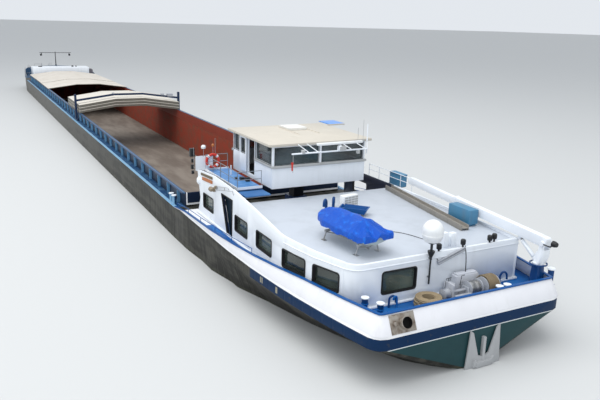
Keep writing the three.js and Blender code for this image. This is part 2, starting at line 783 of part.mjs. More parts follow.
function houseRoof() {
  const outline = onStations(houseLine(WALL + GAP, HOUSE_FORE));
  return prism("z", outline, above(ROOF_TOP - ROOF_THICK), above(ROOF_TOP));
}
addPiece("house_roof", houseRoof(), paint("white", 0.45));

// Panes behind the windows of the house, one band along both sides and the aft end.
function houseGlass() {
  const line = houseLine(WALL + GAP, HOUSE_FORE - WALL - 6);
  return prism("z", onStations(ribbon(line, GLASS)), above(SILL - 8), above(HEAD + 8));
}
addPiece("house_glass", houseGlass(), paint("glass", 0.1));

function towerGlass() {
  const [from, to] = SIDE_WINDOWS[0];
  const along = [station(from - 8), station(to + 8)];
  const y = 500 - WALL - GAP;
  return box(along, [y - GLASS, y], [above(SILL - 8), above(HEAD + 8)]);
}
addPiece("tower_glass", towerGlass(), paint("glass", 0.1));

// Side door, hung on its aft edge just inside the port wall.
const DOOR_HINGE = [1160, 480];
function houseDoor() {
  const outline = [
    [0, 0],
    [64, 0],
    [138, 188],
    [0, 188],
  ];
  return prism("y", outline, -3, 3);
}
const door = addPiece("house_door", houseDoor(), paint("dark", 0.5));
door.position.set(station(DOOR_HINGE[0]), DOOR_HINGE[1], DECK_SEAT);

// Wheelhouse, in its own frame: x and y from its middle, z from its bottom edge

const [CABIN_X, CABIN_Y] = CABIN_HALF;
const DOOR_FOOT = 22;
const LEAF = { x: [50, 140], y: [275.3, 281], z: [DOOR_FOOT + 2, 209], border: 10 };

function wheelhouseWalls() {
  const outer = box([-CABIN_X, CABIN_X], [-CABIN_Y, CABIN_Y], [0, CABIN_HEIGHT]);
  const inX = CABIN_X - CABIN_WALL;
  const inY = CABIN_Y - CABIN_WALL;
  const inner = box([-inX, inX], [-inY, inY], [-5, CABIN_HEIGHT + 5]);
  const side = [-CABIN_Y - 5, CABIN_Y + 5];
  const through = [-CABIN_X - 5, CABIN_X + 5];
  const aftPanes = [
    [-CABIN_Y + 12, -8],
    [8, CABIN_Y - 12],
  ].map((y) => box([-CABIN_X - 5, 0], y, PANE));
  const forePanes = [-3, -1, 1, 3].map((k) => box([0, through[1]], [k * 64 - 58, k * 64 + 58], PANE));
  const starboardPanes = [-2, 0, 2].map((k) => box([k * 81 - 72, k * 81 + 72], [side[0], 0], PANE));
  const portPanes = [
    [-CABIN_X + 12, DOORWAY[0] - 14],
    [60, 150],
    [160, CABIN_X - 12],
  ].map((x) => box(x, [0, side[1]], PANE));
  const doorway = box(DOORWAY, [0, side[1]], [DOOR_FOOT, PANE[1]]);
  const track = box([DOORWAY[0] - 8, LEAF.x[1] + 4], [CABIN_Y - 1, LEAF.y[1] + 2], [LEAF.z[1] + GAP, CABIN_HEIGHT]);
  return cut(join(outer, track), inner, ...aftPanes, ...forePanes, ...starboardPanes, ...portPanes, doorway);
}
addPiece("wheelhouse_walls", wheelhouseWalls(), paint("white", 0.4), wheelhouse);

const ROOF_HALF = [275, 295];
const BOARD = { x: [232, 362], y: [-436, -332], z: [222, 227] };
const HATCH = { x: [80, 200], y: [-98, 12], opening: 12, top: 14 };

function wheelhouseRoof() {
  const low = CABIN_HEIGHT + GAP;
  const slab = box([-ROOF_HALF[0], ROOF_HALF[0]], [-ROOF_HALF[1], ROOF_HALF[1]], [low, low + 13]);
  const rails = [HATCH.y[0] - 7, HATCH.y[1] + 7].map((y) =>
    box([HATCH.x[0] - 130, HATCH.x[1]], [y - 2, y + 2], [low + 12, low + 19]),
  );
  const hatchHole = box(
    [HATCH.x[0] + HATCH.opening, HATCH.x[1] - HATCH.opening],
    [HATCH.y[0] + HATCH.opening, HATCH.y[1] - HATCH.opening],
    [low - 5, low + 30],
  );
  const boardArm = box([220, BOARD.x[0] - GAP], [BOARD.y[0] + 4, -ROOF_HALF[1] + 4], [low + 4, low + 11]);
  return cut(join(slab, ...rails, boardArm), hatchHole);
}
addPiece("wheelhouse_roof", wheelhouseRoof(), paint("cream", 0.6), wheelhouse);

function roofHatch() {
  const low = CABIN_HEIGHT + GAP + 13 + GAP;
  return box(HATCH.x, HATCH.y, [low, low + HATCH.top]);
}
addPiece("wheelhouse_roof_hatch", roofHatch(), paint("white", 0.4), wheelhouse);

function wheelhouseGlass() {
  const inX = CABIN_X - CABIN_WALL - GAP;
  const inY = CABIN_Y - CABIN_WALL - GAP;
  const heights = [PANE[0] - 5, PANE[1] + 5];
  const outer = box([-inX, inX], [-inY, inY], heights);
  const inner = box([-inX + GLASS, inX - GLASS], [-inY + GLASS, inY - GLASS], [0, CABIN_HEIGHT]);
  const doorway = box([DOORWAY[0] - 4, DOORWAY[1] + 4], [0, CABIN_Y], [0, CABIN_HEIGHT]);
  return cut(outer, inner, doorway);
}
addPiece("wheelhouse_glass", wheelhouseGlass(), paint("glass", 0.1), wheelhouse);

const COLUMN = { half: 30, length: 410 };

// Cabin floor with the lift column under it, and the helm desk and chair that stand on it.
function wheelhouseFloor() {
  const inX = CABIN_X - CABIN_WALL - GAP;
  const inY = CABIN_Y - CABIN_WALL - GAP;
  const slab = box([-inX, inX], [-inY, inY], [10, 20]);
  const column = box([-COLUMN.half, COLUMN.half], [-COLUMN.half, COLUMN.half], [20 - COLUMN.length, 12]);
  const desk = prism(
    "y",
    [
      [165, 19],
      [225, 19],
      [225, 96],
      [205, 104],
      [150, 92],
      [150, 84],
      [165, 80],
    ],
    -130,
    130,
  );
  const pedestal = rod([95, 0, 19], [95, 0, 52], 8, 10);
  const seat = box([72, 122], [-24, 24], [50, 60]);
  const back = box([66, 75], [-22, 22], [56, 112]);
  return join(slab, column, desk, pedestal, seat, back);
}
addPiece("wheelhouse_floor", wheelhouseFloor(), paint("black", 0.6), wheelhouse);

// Sliding door leaf, parked forward of its doorway.
function wheelhouseDoor() {
  const corners = (x, z) => [
    [x[0], z[0]],
    [x[1], z[0]],
    [x[1], z[1]],
    [x[0], z[1]],
  ];
  const light = corners([LEAF.x[0] + LEAF.border, LEAF.x[1] - LEAF.border], [PANE[0], PANE[1] - 4]);
  return prism("y", corners(LEAF.x, LEAF.z), ...LEAF.y, [light]);
}
addPiece("wheelhouse_door", wheelhouseDoor(), paint("white", 0.4), wheelhouse);

// Signal board beside the roof: its hinge lies along the upper edge of its aft end.
addPiece("signal_board", box(BOARD.x, BOARD.y, BOARD.z), paint("blue", 0.4), wheelhouse);

// Radar yard behind the wheelhouse, with the turning scanner's gearbox and the aerial pole
const YARD = { x: -395, z: 202, port: 235, starboard: -190, radius: 4 };
const SCANNER = { y: -28, half: 128, gearbox: 26, thick: 12 };

function radarYard() {
  const { x, z, port, starboard, radius } = YARD;
  const edge = -ROOF_HALF[0] - GAP;
  const bar = rod([x, starboard, z], [x, port, z], radius, 8);
  const arms = [140, 90, -100, -180].map((y) => rod([x, y, z], [edge - 0.6, y, 221], 2.5, 6));
  const gearbox = turned(
    [
      [0, 0],
      [13, 0],
      [13, SCANNER.gearbox - 6],
      [8, SCANNER.gearbox],
      [0, SCANNER.gearbox],
    ],
    12,
  ).translate(x, SCANNER.y, z + 1);
  const poleX = edge - 6;
  const pole = rod([poleX, -262, 150], [poleX, -262, 306], 2.5, 8);
  const link = rod([x, starboard + 2, z], [poleX, -262, z + 8], 2.5, 6);
  const foot = box([poleX - 2, edge], [-265, -259], [218, 226]);
  return join(bar, ...arms, gearbox, pole, link, foot);
}
addPiece("radar_yard", radarYard(), paint("white", 0.4), wheelhouse);

function radarScanner() {
  const low = YARD.z + 1 + SCANNER.gearbox + GAP;
  const bar = box([-8, 8], [-SCANNER.half, SCANNER.half], [low + 5, low + 5 + SCANNER.thick]);
  const hub = rod([0, 0, low], [0, 0, low + 6], 7, 12);
  return join(bar, hub);
}
const scanner = addPiece("radar_scanner", radarScanner(), paint("white", 0.4), wheelhouse);
scanner.position.set(YARD.x, SCANNER.y, 0);

// Guide that the wheelhouse's column slides in
function liftGuide() {
  const x = station(CABIN_CENTRE);
  const sleeve = box([x - 46, x + 46], [-46, 46], [DECK_SEAT, 478]);
  const flange = box([x - 62, x + 62], [-62, 62], [DECK_SEAT, DECK_SEAT + 6]);
  const clear = COLUMN.half + 0.8;
  const bore = box([x - clear, x + clear], [-clear, clear], [DECK_TOP - 5, 490]);
  return cut(join(sleeve, flange), bore);
}
addPiece("lift_guide", liftGuide(), paint("galvanized", 0.5, 0.6));

// Platform between the screen and the wheelhouse's port door
const PLATFORM = { along: [1262, 1728], across: [293, 430], top: 420 };

function sidePlatform() {
  const [from, to] = PLATFORM.along.map(station);
  const [inner, outer] = PLATFORM.across;
  const top = above(PLATFORM.top);
  const slab = box([from, to], [inner, outer], [top - 5, top]);
  const edges = [
    box([from, to], [outer - 4, outer], [top - 8, top + 8]),
    box([from, from + 4], [inner, outer], [top - 8, top + 8]),
    box([to - 4, to], [inner, outer], [top - 8, top + 8]),
  ];
  const beams = [1330, 1600].map((s) =>
    box([station(s), station(s) + 14], [inner + 6, 500 - WALL - GAP], [top - 16, top - 4]),
  );
  const railHeight = top + 85;
  const posts = [1264, 1380, 1495, 1610, 1726].map((s) => rod([station(s), outer - 2, top], [station(s), outer - 2, railHeight], 1.8, 6));
  const endPosts = [from + 2, to - 2].map((x) => rod([x, inner + 6, top], [x, inner + 6, railHeight], 1.8, 6));
  const rails = [0, -40].flatMap((drop) => [
    rod([from, outer - 2, railHeight + drop], [to, outer - 2, railHeight + drop], 1.8, 6),
    rod([from + 2, inner + 5, railHeight + drop], [from + 2, outer, railHeight + drop], 1.8, 6),
    rod([to - 2, inner + 5, railHeight + drop], [to - 2, outer, railHeight + drop], 1.8, 6),
  ]);
  return join(slab, ...edges, ...beams, ...posts, ...endPosts, ...rails);
}
addPiece("side_platform", sidePlatform(), paint("blue", 0.5));

// Crane on the starboard quarter, in its own frame: origin at the foot of its base

const crane = new THREE.Group();
crane.position.set(station(95), -393, DECK_SEAT);
barge.add(crane);
const CRANE = { baseHeight: 108, pivot: [-22, 201], rest: 3.3, cylinderFoot: [22, 124] };

function craneBase() {
  const height = CRANE.baseHeight;
  const plinth = new THREE.CylinderGeometry(23, 31, height, 4).rotateX(Math.PI / 2).rotateZ(Math.PI / 4);
  const foot = box([-34, 34], [-28, 28], [0, 4]);
  const ring = rod([0, 0, height - 8], [0, 0, height], 22, 16);
  const knees = [-1, 1].map((side) =>
    prism("y", [[side * 16, 2], [side * 32, 2], [side * 32, 10], [side * 16, 60]], -2.5, 2.5),
  );
  return join(plinth.translate(0, 0, height / 2), foot, ring, ...knees);
}
addPiece("crane_base", craneBase(), paint("blue", 0.5), crane);

const CHEEK = [15.3, 20]; // inner and outer distance of the column's cheeks from its middle plane

function craneColumn() {
  const low = CRANE.baseHeight + GAP;
  const [px, pz] = CRANE.pivot;
  const slewRing = rod([0, 0, low], [0, 0, low + 6], 24, 16);
  const body = prism(
    "y",
    [
      [-20, low + 4],
      [8, low + 4],
      [8, low + 38],
      [-4, low + 58],
      [-32, low + 66],
      [-32, low + 40],
    ],
    -CHEEK[1],
    CHEEK[1],
  );
  const cheekOutline = [
    [-30, low + 44],
    [-6, low + 52],
    [px + 12, pz + 4],
    [px + 6, pz + 11],
    [px - 6, pz + 11],
    [px - 12, pz + 4],
    [px - 10, pz - 20],
  ];
  const cheeks = [1, -1].map((side) => {
    const [a, b] = CHEEK.map((d) => side * d);
    return prism("y", cheekOutline, Math.min(a, b), Math.max(a, b));
  });
  const pin = rod([px, -CHEEK[1], pz], [px, CHEEK[1], pz], 4, 10);
  const [cx, cz] = CRANE.cylinderFoot;
  const lugs = [1, -1].map((side) => {
    const [a, b] = [5.3 * side, 9 * side];
    return prism("y", roundedRectangle([cx - 20, cx + 5], [cz - 6, cz + 5], 4, 2), Math.min(a, b), Math.max(a, b));
  });
  const lugPin = rod([cx, -9, cz], [cx, 9, cz], 2, 8);
  return join(slewRing, body, ...cheeks, pin, ...lugs, lugPin);
}
addPiece("crane_column", craneColumn(), paint("white", 0.4), crane);

// The boom's frame: origin at its pivot, x along the boom, turned up to its stowed angle.
const boom = new THREE.Group();
boom.position.set(CRANE.pivot[0], 0, CRANE.pivot[1]);
boom.rotation.y = -radians(CRANE.rest);
crane.add(boom);
const BOOM = { length: 540, low: -16, high: 25, half: 14, wall: 3, eye: [126, -25] };
const EXTENSION = { from: 330, to: 890 };

function craneBoom() {
  const { low, high, half: width } = BOOM;
  const outer = box([20, BOOM.length], [-width, width], [low, high]);
  const [inY, inZ] = [width - BOOM.wall, [low + BOOM.wall, high - BOOM.wall]];
  const bore = box([EXTENSION.from - 20, BOOM.length + 5], [-inY, inY], inZ);
  const root = prism("y", roundedRectangle([-14, 24], [-12, high], 9, 3), -width, width);
  const collar = box([BOOM.length - 14, BOOM.length], [-width - 2, width + 2], [low - 2, high + 2]);
  const eyeLugs = [1, -1].map((side) => {
    const [a, b] = [6 * side, 10 * side];
    const plate = roundedRectangle([BOOM.eye[0] - 8, BOOM.eye[0] + 7], [BOOM.eye[1] - 6, low + 4], 4, 2);
    return prism("y", plate, Math.min(a, b), Math.max(a, b));
  });
  const pinHole = rod([0, -width - 5, 0], [0, width + 5, 0], 4.4, 12);
  return cut(join(outer, root, collar, ...eyeLugs), bore, pinHole);
}
addPiece("crane_boom", craneBoom(), paint("white", 0.4), boom);

function craneExtension() {
  const slack = 0.5;
  const inY = BOOM.half - BOOM.wall - slack;
  const inZ = [BOOM.low + BOOM.wall + slack, BOOM.high - BOOM.wall - slack];
  const tube = box([EXTENSION.from, EXTENSION.to - 20], [-inY, inY], inZ);
  const head = prism("y", roundedRectangle([EXTENSION.to - 30, EXTENSION.to], [-14, 20], 10, 3), -9, 9);
  return join(tube, head);
}
addPiece("crane_extension", craneExtension(), paint("white", 0.4), boom);

// The luffing cylinder lies along the line from its foot pin to its eye on the boom.
function cylinderLine() {
  const angle = radians(CRANE.rest);
  const [ex, ez] = BOOM.eye;
  const eyeX = CRANE.pivot[0] + ex * Math.cos(angle) - ez * Math.sin(angle);
  const eyeZ = CRANE.pivot[1] + ex * Math.sin(angle) + ez * Math.cos(angle);
  const [footX, footZ] = CRANE.cylinderFoot;
  const run = [eyeX - footX, eyeZ - footZ];
  return { length: Math.hypot(...run), pitch: Math.atan2(run[1], run[0]) };
}
const ram = new THREE.Group();
ram.position.set(CRANE.cylinderFoot[0], 0, CRANE.cylinderFoot[1]);
ram.rotation.y = -cylinderLine().pitch;
crane.add(ram);
const RAM = { barrel: 8, bore: 4.4, rod: 4, eye: 5 };

function craneCylinder() {
  const end = cylinderLine().length - 12;
  const barrel = rod([9, 0, 0], [end, 0, 0], RAM.barrel, 12);
  const root = box([0, 12], [-4, 4], [-4.5, 4.5]);
  const eye = rod([0, -4.6, 0], [0, 4.6, 0], 6, 12);
  const bore = rod([12, 0, 0], [end + 5, 0, 0], RAM.bore, 12);
  const pinHole = rod([0, -9, 0], [0, 9, 0], 2.4, 8);
  return cut(join(barrel, root, eye), bore, pinHole);
}
addPiece("crane_cylinder", craneCylinder(), paint("white", 0.4), ram);

function pistonRod() {
  const { length } = cylinderLine();
  const shaft = rod([14, 0, 0], [length - 3, 0, 0], RAM.rod, 12);
  const eye = rod([length, -4.6, 0], [length, 4.6, 0], RAM.eye, 12);
  return join(shaft, eye);
}
addPiece("crane_piston_rod", pistonRod(), paint("galvanized", 0.3, 0.9), ram);

// Covered dinghy on its cradle, in its own frame: x towards its bow, z from its keel

const dinghyGroup = new THREE.Group();
const CRADLE_HEIGHT = 44;
dinghyGroup.position.set(station(452), 288, ROOF_SEAT + CRADLE_HEIGHT);
dinghyGroup.rotation.z = radians(6.5);
barge.add(dinghyGroup);

// Dinghy frames: place along it, half-width at the rail, half-width and height of the chine, keel height.
const DINGHY_FRAMES = [
  [-168, 68, 50, 12, 2],
  [-90, 72, 54, 10, 0],
  [0, 72, 52, 10, 0],
  [90, 60, 36, 14, 2],
  [150, 32, 14, 24, 10],
  [174, 12, 5, 32, 22],
];
const DINGHY_RAIL = 40;

function dinghyRings(grow) {
  return DINGHY_FRAMES.map(([x, rail, chine, chineHeight, keel]) => {
    const at = x + Math.sign(x) * grow;
    const half = [
      [1, keel - grow],
      [chine + grow, chineHeight - grow],
      [rail + grow, DINGHY_RAIL + grow],
    ];
    const port = half.map(([y, z]) => [at, y, z]);
    return [...port, ...half.map(([y, z]) => [at, -y, z]).reverse()];
  });
}
addPiece("dinghy_hull", loft(dinghyRings(0)), paint("white", 0.4), dinghyGroup);

// The tarpaulin: a ridged cap that hangs a little way down the sides of the hull.
function dinghyCover() {
  const ridge = [[-176, 62], [-60, 84], [60, 88], [182, 60]];
  const rings = DINGHY_FRAMES.map(([x, rail]) => {
    const at = x + Math.sign(x) * 7;
    const half = [
      [rail + 4, 18],
      [rail + 6, DINGHY_RAIL + 2],
      [(rail + 4) * 0.6, (DINGHY_RAIL + between(ridge, at)) / 2 + 9],
      [3, between(ridge, at)],
    ];
    const port = half.map(([y, z]) => [at, y, z]);
    return [...port, ...half.map(([y, z]) => [at, -y, z]).reverse()];
  });
  return cut(loft(rings), loft(dinghyRings(0.8)));
}
addPiece("dinghy_cover", dinghyCover(), paint("tarp", 0.7), dinghyGroup);

function dinghyCradle() {
  const foot = -CRADLE_HEIGHT;
  const parts = [rod([-130, 0, -24], [95, 0, -24], 3, 8)];
  for (const x of [-120, 85]) {
    parts.push(box([x - 4, x + 4], [-52, 52], [-9, -GAP]));
    for (const side of [-1, 1]) {
      parts.push(rod([x, side * 44, -6], [x + side * 4, side * 54, foot + 1], 3, 8));
      parts.push(rod([x, side * 46, -10], [x, 0, -24], 2.4, 6));
      parts.push(box([x - 9, x + 13], [side * 54 - 7, side * 54 + 7], [foot, foot + 2]));
    }
  }
  return join(...parts);
}
addPiece("dinghy_cradle", dinghyCradle(), paint("galvanized", 0.4, 0.7), dinghyGroup);

// Stern anchor, hauled up flat against the transom

const anchor = new THREE.Group();
anchor.position.set(station(0) - GAP, -38, above(0));
barge.add(anchor);

function sternAnchor() {
  const parts = [];
  for (const side of [1, -1]) {
    const fluke = [
      [6, 8],
      [48, -5],
      [85, -3],
      [82, 20],
      [71, 156],
      [58, 146],
      [26, 48],
      [6, 40],
    ].map(([y, z]) => [side * y, z]);
    parts.push(prism("x", fluke, -12, -5));
    parts.push(prism("x", fluke.map(([y, z]) => [side * 30 + (y - side * 30) * 0.4, 6 + z * 0.2]), -20, -4));
  }
  parts.push(box([-22, -4], [-38, 38], [2, 24]));
  parts.push(box([-14, 0], [-6, 6], [10, 118]));
  return join(...parts);
}
addPiece("stern_anchor", sternAnchor(), paint("galvanized", 0.5, 0.7), anchor);

// Exhaust outlet through the bulwark, square to its sloping plate
const outlet = new THREE.Group();
const OUTLET_HEIGHT = 237;
const bulwarkSlope = TRANSOM_LEAN / (above(273) - AFT_DECK);
outlet.position.set(station(0) + bulwarkSlope * (above(OUTLET_HEIGHT) - AFT_DECK), 323, above(OUTLET_HEIGHT));
outlet.rotation.y = Math.atan(bulwarkSlope);
barge.add(outlet);

function exhaustOutlet() {
  const patch = box([-2.2, -0.5], [-46, 58], [-33, 35]);
  const rim = rod([-22, 0, 0], [-1, 0, 0], 23, 24);
  const bore = rod([-25, 0, 0], [-5, 0, 0], 20, 24);
  const drain = rod([-14, 40, 2], [-1, 40, 2], 8, 12);
  return cut(join(patch, rim, drain), bore);
}
addPiece("exhaust_outlet", exhaustOutlet(), paint("galvanized", 0.4, 0.8), outlet);

// Mooring winches: a frame with cheeks, and a drum that turns about the transverse axis

const WINCH_AXLE = 6;

// Cheek plates on a bed, with the motor's place [x, z] and its two ends along y.
function winchFrame(cheeks, height, [motorX, motorZ], motorEnds) {
  const ends = [Math.min(...cheeks) - 6, Math.max(...cheeks) + 6];
  const parts = [box([Math.min(-40, motorX - 16), 40], ends, [0, 4])];
  const outline = [
    [-34, 3],
    [34, 3],
    [16, height + 12],
    [-16, height + 12],
  ];
  for (const y of cheeks) parts.push(prism("y", outline, y - 3, y + 3));
  parts.push(rod([motorX, motorEnds[0], motorZ], [motorX, motorEnds[1], motorZ], 13, 12));
  const hole = rod([0, ends[0] - 9, height], [0, ends[1] + 9, height], WINCH_AXLE + 0.5, 12);
  return cut(join(...parts), hole);
}

// A drum on a shaft: rows of place along the shaft and radius.
function winchDrum(rows) {
  const profile = [[0, rows[0][0]], ...rows.map(([y, r]) => [r, y]), [0, rows[rows.length - 1][0]]];
  return turned(profile, 18).rotateX(-Math.PI / 2);
}

const sternWinch = new THREE.Group();
sternWinch.position.set(station(128), -60, DECK_SEAT);
barge.add(sternWinch);
const STERN_AXIS = 43;
const sternFrame = winchFrame([90, 10, -62], STERN_AXIS, [-32, 30], [12, 88]);
addPiece("stern_winch", sternFrame, paint("galvanized", 0.5, 0.6), sternWinch);
const STERN_DRUM = [
  [-142, WINCH_AXLE],
  [-137, WINCH_AXLE],
  [-137, 37],
  [-133, 37],
  [-133, 33],
  [-76, 33],
  [-76, 37],
  [-72, 37],
  [-72, WINCH_AXLE],
  [-54, WINCH_AXLE],
  [-54, 33],
  [-50, 33],
  [-50, 22],
  [2, 22],
  [2, 33],
  [5.6, 33],
  [5.6, WINCH_AXLE],
  [98, WINCH_AXLE],
  [98, 20],
  [110, 14],
  [122, 20],
];
const sternDrum = addPiece("stern_winch_drum", winchDrum(STERN_DRUM), paint("tan", 0.8), sternWinch);
sternDrum.position.z = STERN_AXIS;

const windlass = new THREE.Group();
windlass.position.set(station(10700), 0, FORE_SEAT);
barge.add(windlass);
const WINDLASS_AXIS = 34;
const windlassFrame = winchFrame([70, -70], WINDLASS_AXIS, [-58, 15], [-60, 10]);
addPiece("windlass", windlassFrame, paint("galvanized", 0.5, 0.6), windlass);
const WINDLASS_DRUM = [
  [-104, 14],
  [-84, 14],
  [-84, WINCH_AXLE],
  [-62, WINCH_AXLE],
  [-62, 26],
  [-58, 26],
  [-58, 14],
  [58, 14],
  [58, 26],
  [62, 26],
  [62, WINCH_AXLE],
  [84, WINCH_AXLE],
  [84, 14],
  [104, 14],
];
const windlassDrum = addPiece("windlass_drum", winchDrum(WINDLASS_DRUM), paint("galvanized", 0.5, 0.6), windlass);
windlassDrum.position.z = WINDLASS_AXIS;

// Mooring rope coiled down on the aft deck: the outer shape of its turns
const COIL = { at: [132, 126], inner: 22, outer: 54, height: 46 };
const coil = addPiece(
  "rope_coil",
  turned(
    [
      [COIL.inner, 0],
      [COIL.outer, 0],
      [COIL.outer, COIL.height],
      [COIL.inner, COIL.height],
      [COIL.inner, 0],
    ],
    24,
  ),
  paint("tan", 0.9),
);
coil.position.set(station(COIL.at[0]), COIL.at[1], DECK_TOP + GAP);

// Propeller, nozzle and rudders

const SHAFT = 84;
const PROPELLER = { station: 330, radius: 69, hub: 13, blades: 4, pitch: 38 };

function propellerBlades() {
  const parts = [rod([-14, 0, 0], [16, 0, 0], PROPELLER.hub, 14, 9)];
  for (let i = 0; i < PROPELLER.blades; i++) {
    const outline = [
      [-12, 8],
      [12, 8],
      [27, 40],
      [22, 60],
      [0, PROPELLER.radius],
      [-22, 60],
      [-27, 40],
    ];
    const blade = prism("x", outline, -2, 2).rotateZ(radians(PROPELLER.pitch));
    parts.push(blade.rotateX((2 * Math.PI * i) / PROPELLER.blades));
  }
  return join(...parts);
}
const propeller = addPiece("propeller", propellerBlades(), paint("bronze", 0.35, 0.9));
propeller.position.set(station(PROPELLER.station), 0, SHAFT);

function nozzle() {
  const ring = turned(
    [
      [74.5, -32],
      [81, -28],
      [81, 22],
      [78, 38],
      [74.5, 38],
      [74.5, -32],
    ],
    28,
  ).rotateY(Math.PI / 2);
  const struts = [90, 210, 330].map((angle) => {
    const turn = radians(angle);
    return rod([34, 0, 0], [32, 77 * Math.cos(turn), 77 * Math.sin(turn)], 3, 8);
  });
  const tube = rod([16 + GAP, 0, 0], [600 - PROPELLER.station - GAP, 0, 0], 9, 14);
  return join(ring, ...struts, tube);
}
const duct = addPiece("propeller_nozzle", nozzle(), paint("hull", 0.6));
duct.position.set(station(PROPELLER.station), 0, SHAFT);

const RUDDER = { station: 215, spread: 42, fore: 40, aft: 55, thick: 8, heights: [22, 158], stock: 5 };

function rudderBlade() {
  const { fore, aft, thick, heights, stock } = RUDDER;
  const outline = [
    [-aft, 0.8],
    [-aft * 0.4, thick * 0.45],
    [fore * 0.3, thick / 2],
    [fore, 0.8],
  ];
  const blade = prism("z", [...outline, ...mirrored(outline).reverse()], ...heights);
  return join(blade, rod([0, 0, heights[1] - 5], [0, 0, 168 - 0.6], stock, 10));
}
for (const [name, side] of [["rudder_port", 1], ["rudder_starboard", -1]]) {
  const rudder = addPiece(name, rudderBlade(), paint("hull", 0.6));
  rudder.position.set(station(RUDDER.station), side * RUDDER.spread, 0);
}

// Bow: store house and folding mast

const BOW_HOUSE = { along: [10120, 10480], half: 452, top: 378 };

function bowHouse() {
  const [from, to] = BOW_HOUSE.along.map(station);
  const plan = roundedRectangle([from, to], [-BOW_HOUSE.half, BOW_HOUSE.half], 30, 3);
  return prism("z", plan, FORE_SEAT, above(BOW_HOUSE.top));
}
addPiece("bow_house", bowHouse(), paint("white", 0.45));

function bowMast() {
  const rise = MAST.top - MAST.hinge;
  const yardHeight = rise - MAST.drop;
  const post = rod([0, 0, -12], [0, 0, rise], MAST.radius[0], 10, MAST.radius[1]);
  const yard = rod([0, MAST.yard[1], yardHeight], [0, MAST.yard[0], yardHeight], 4, 8);
  const pinHole = rod([0, -12, 0], [0, 12, 0], 3, 8);
  const drops = MAST.yard.map((y) => rod([0, y * 0.88, yardHeight - 26], [0, y * 0.88, yardHeight + 1], 6, 8));
  return cut(join(post, yard, ...drops), pinHole);
}
const mast = addPiece("bow_mast", bowMast(), paint("galvanized", 0.4, 0.6));
mast.position.set(station(MAST.station), 0, above(MAST.hinge));

// Gear on the car deck

const DOME = { radius: 41, side: 44, low: 173 };
function satelliteDome() {
  const { radius, side, low } = DOME;
  const profile = [[0, 0], [radius * 0.78, 0], [radius, 18], [radius, side]];
  for (const angle of [25, 50, 75])
    profile.push([radius * Math.cos(radians(angle)), side + radius * Math.sin(radians(angle))]);
  profile.push([0, side + radius]);
  const dome = turned(profile, 20).translate(0, 0, low);
  const pole = rod([0, 0, 0], [0, 0, low + 2], 3.5, 8);
  const brackets = [14, 96].map((z) => box([0, 9.7], [-3, 3], [z, z + 6]));
  return join(dome, pole, ...brackets);
}
const dome = addPiece("satellite_dome", satelliteDome(), paint("white", 0.3));
dome.position.set(station(HOUSE_AFT - 10), 73, above(267));

function coolingUnit() {
  const cabinet = prism("z", roundedRectangle([-18, 18], [-45, 45], 4, 2), 6, 70);
  const feet = [-38, 30].map((y) => box([-18, 18], [y, y + 8], [0, 7]));
  return join(cabinet, ...feet);
}
const cooler = addPiece("cooling_unit", coolingUnit(), paint("white", 0.5));
cooler.position.set(station(880), 20, ROOF_SEAT);
cooler.rotation.z = radians(12);

function deckLocker() {
  const cabinet = prism("z", roundedRectangle([-70, 70], [-26, 26], 3, 2), 10, 74);
  const legs = [-60, 48].map((x) => box([x, x + 12], [-24, 24], [0, 12]));
  return join(cabinet, ...legs);
}
const locker = addPiece("deck_locker", deckLocker(), paint("coaming", 0.5));
locker.position.set(station(500), -345, ROOF_SEAT);

function gangplank() {
  const length = 730;
  const sides = [-19, 15].map((y) => box([0, length], [y, y + 4], [0, 24]));
  const deck = box([0, length], [-19, 19], [8, 11]);
  return join(...sides, deck);
}
const plank = addPiece("gangplank", gangplank(), paint("aluminium", 0.4, 0.8));
plank.position.set(station(400), -272, ROOF_SEAT);
plank.rotation.z = radians(-8.6);

function sideRailing() {
  const foot = above(CURB_TOP) + GAP;
  const posts = [1000, 1100, 1200, 1300, 1400].map((s) => rod([station(s), -440, foot], [station(s), -440, foot + 70], 1.8, 6));
  const rails = [68, 38].map((z) => rod([station(998), -440, foot + z], [station(1402), -440, foot + z], 1.8, 6));
  return join(...posts, ...rails);
}
addPiece("side_railing", sideRailing(), paint("white", 0.4));

export default barge;
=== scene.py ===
# %% [markdown]
# # Dressing a river barge
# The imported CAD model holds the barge's true shapes. This lesson paints them, rounds their edges and adds
# the small things that a shipyard bolts on: railings, window rubbers, ropes, lamps and a tarpaulin.

import json
import math

import bmesh
import bpy
from mathutils import Matrix, Vector
from mathutils.bvhtree import BVHTree

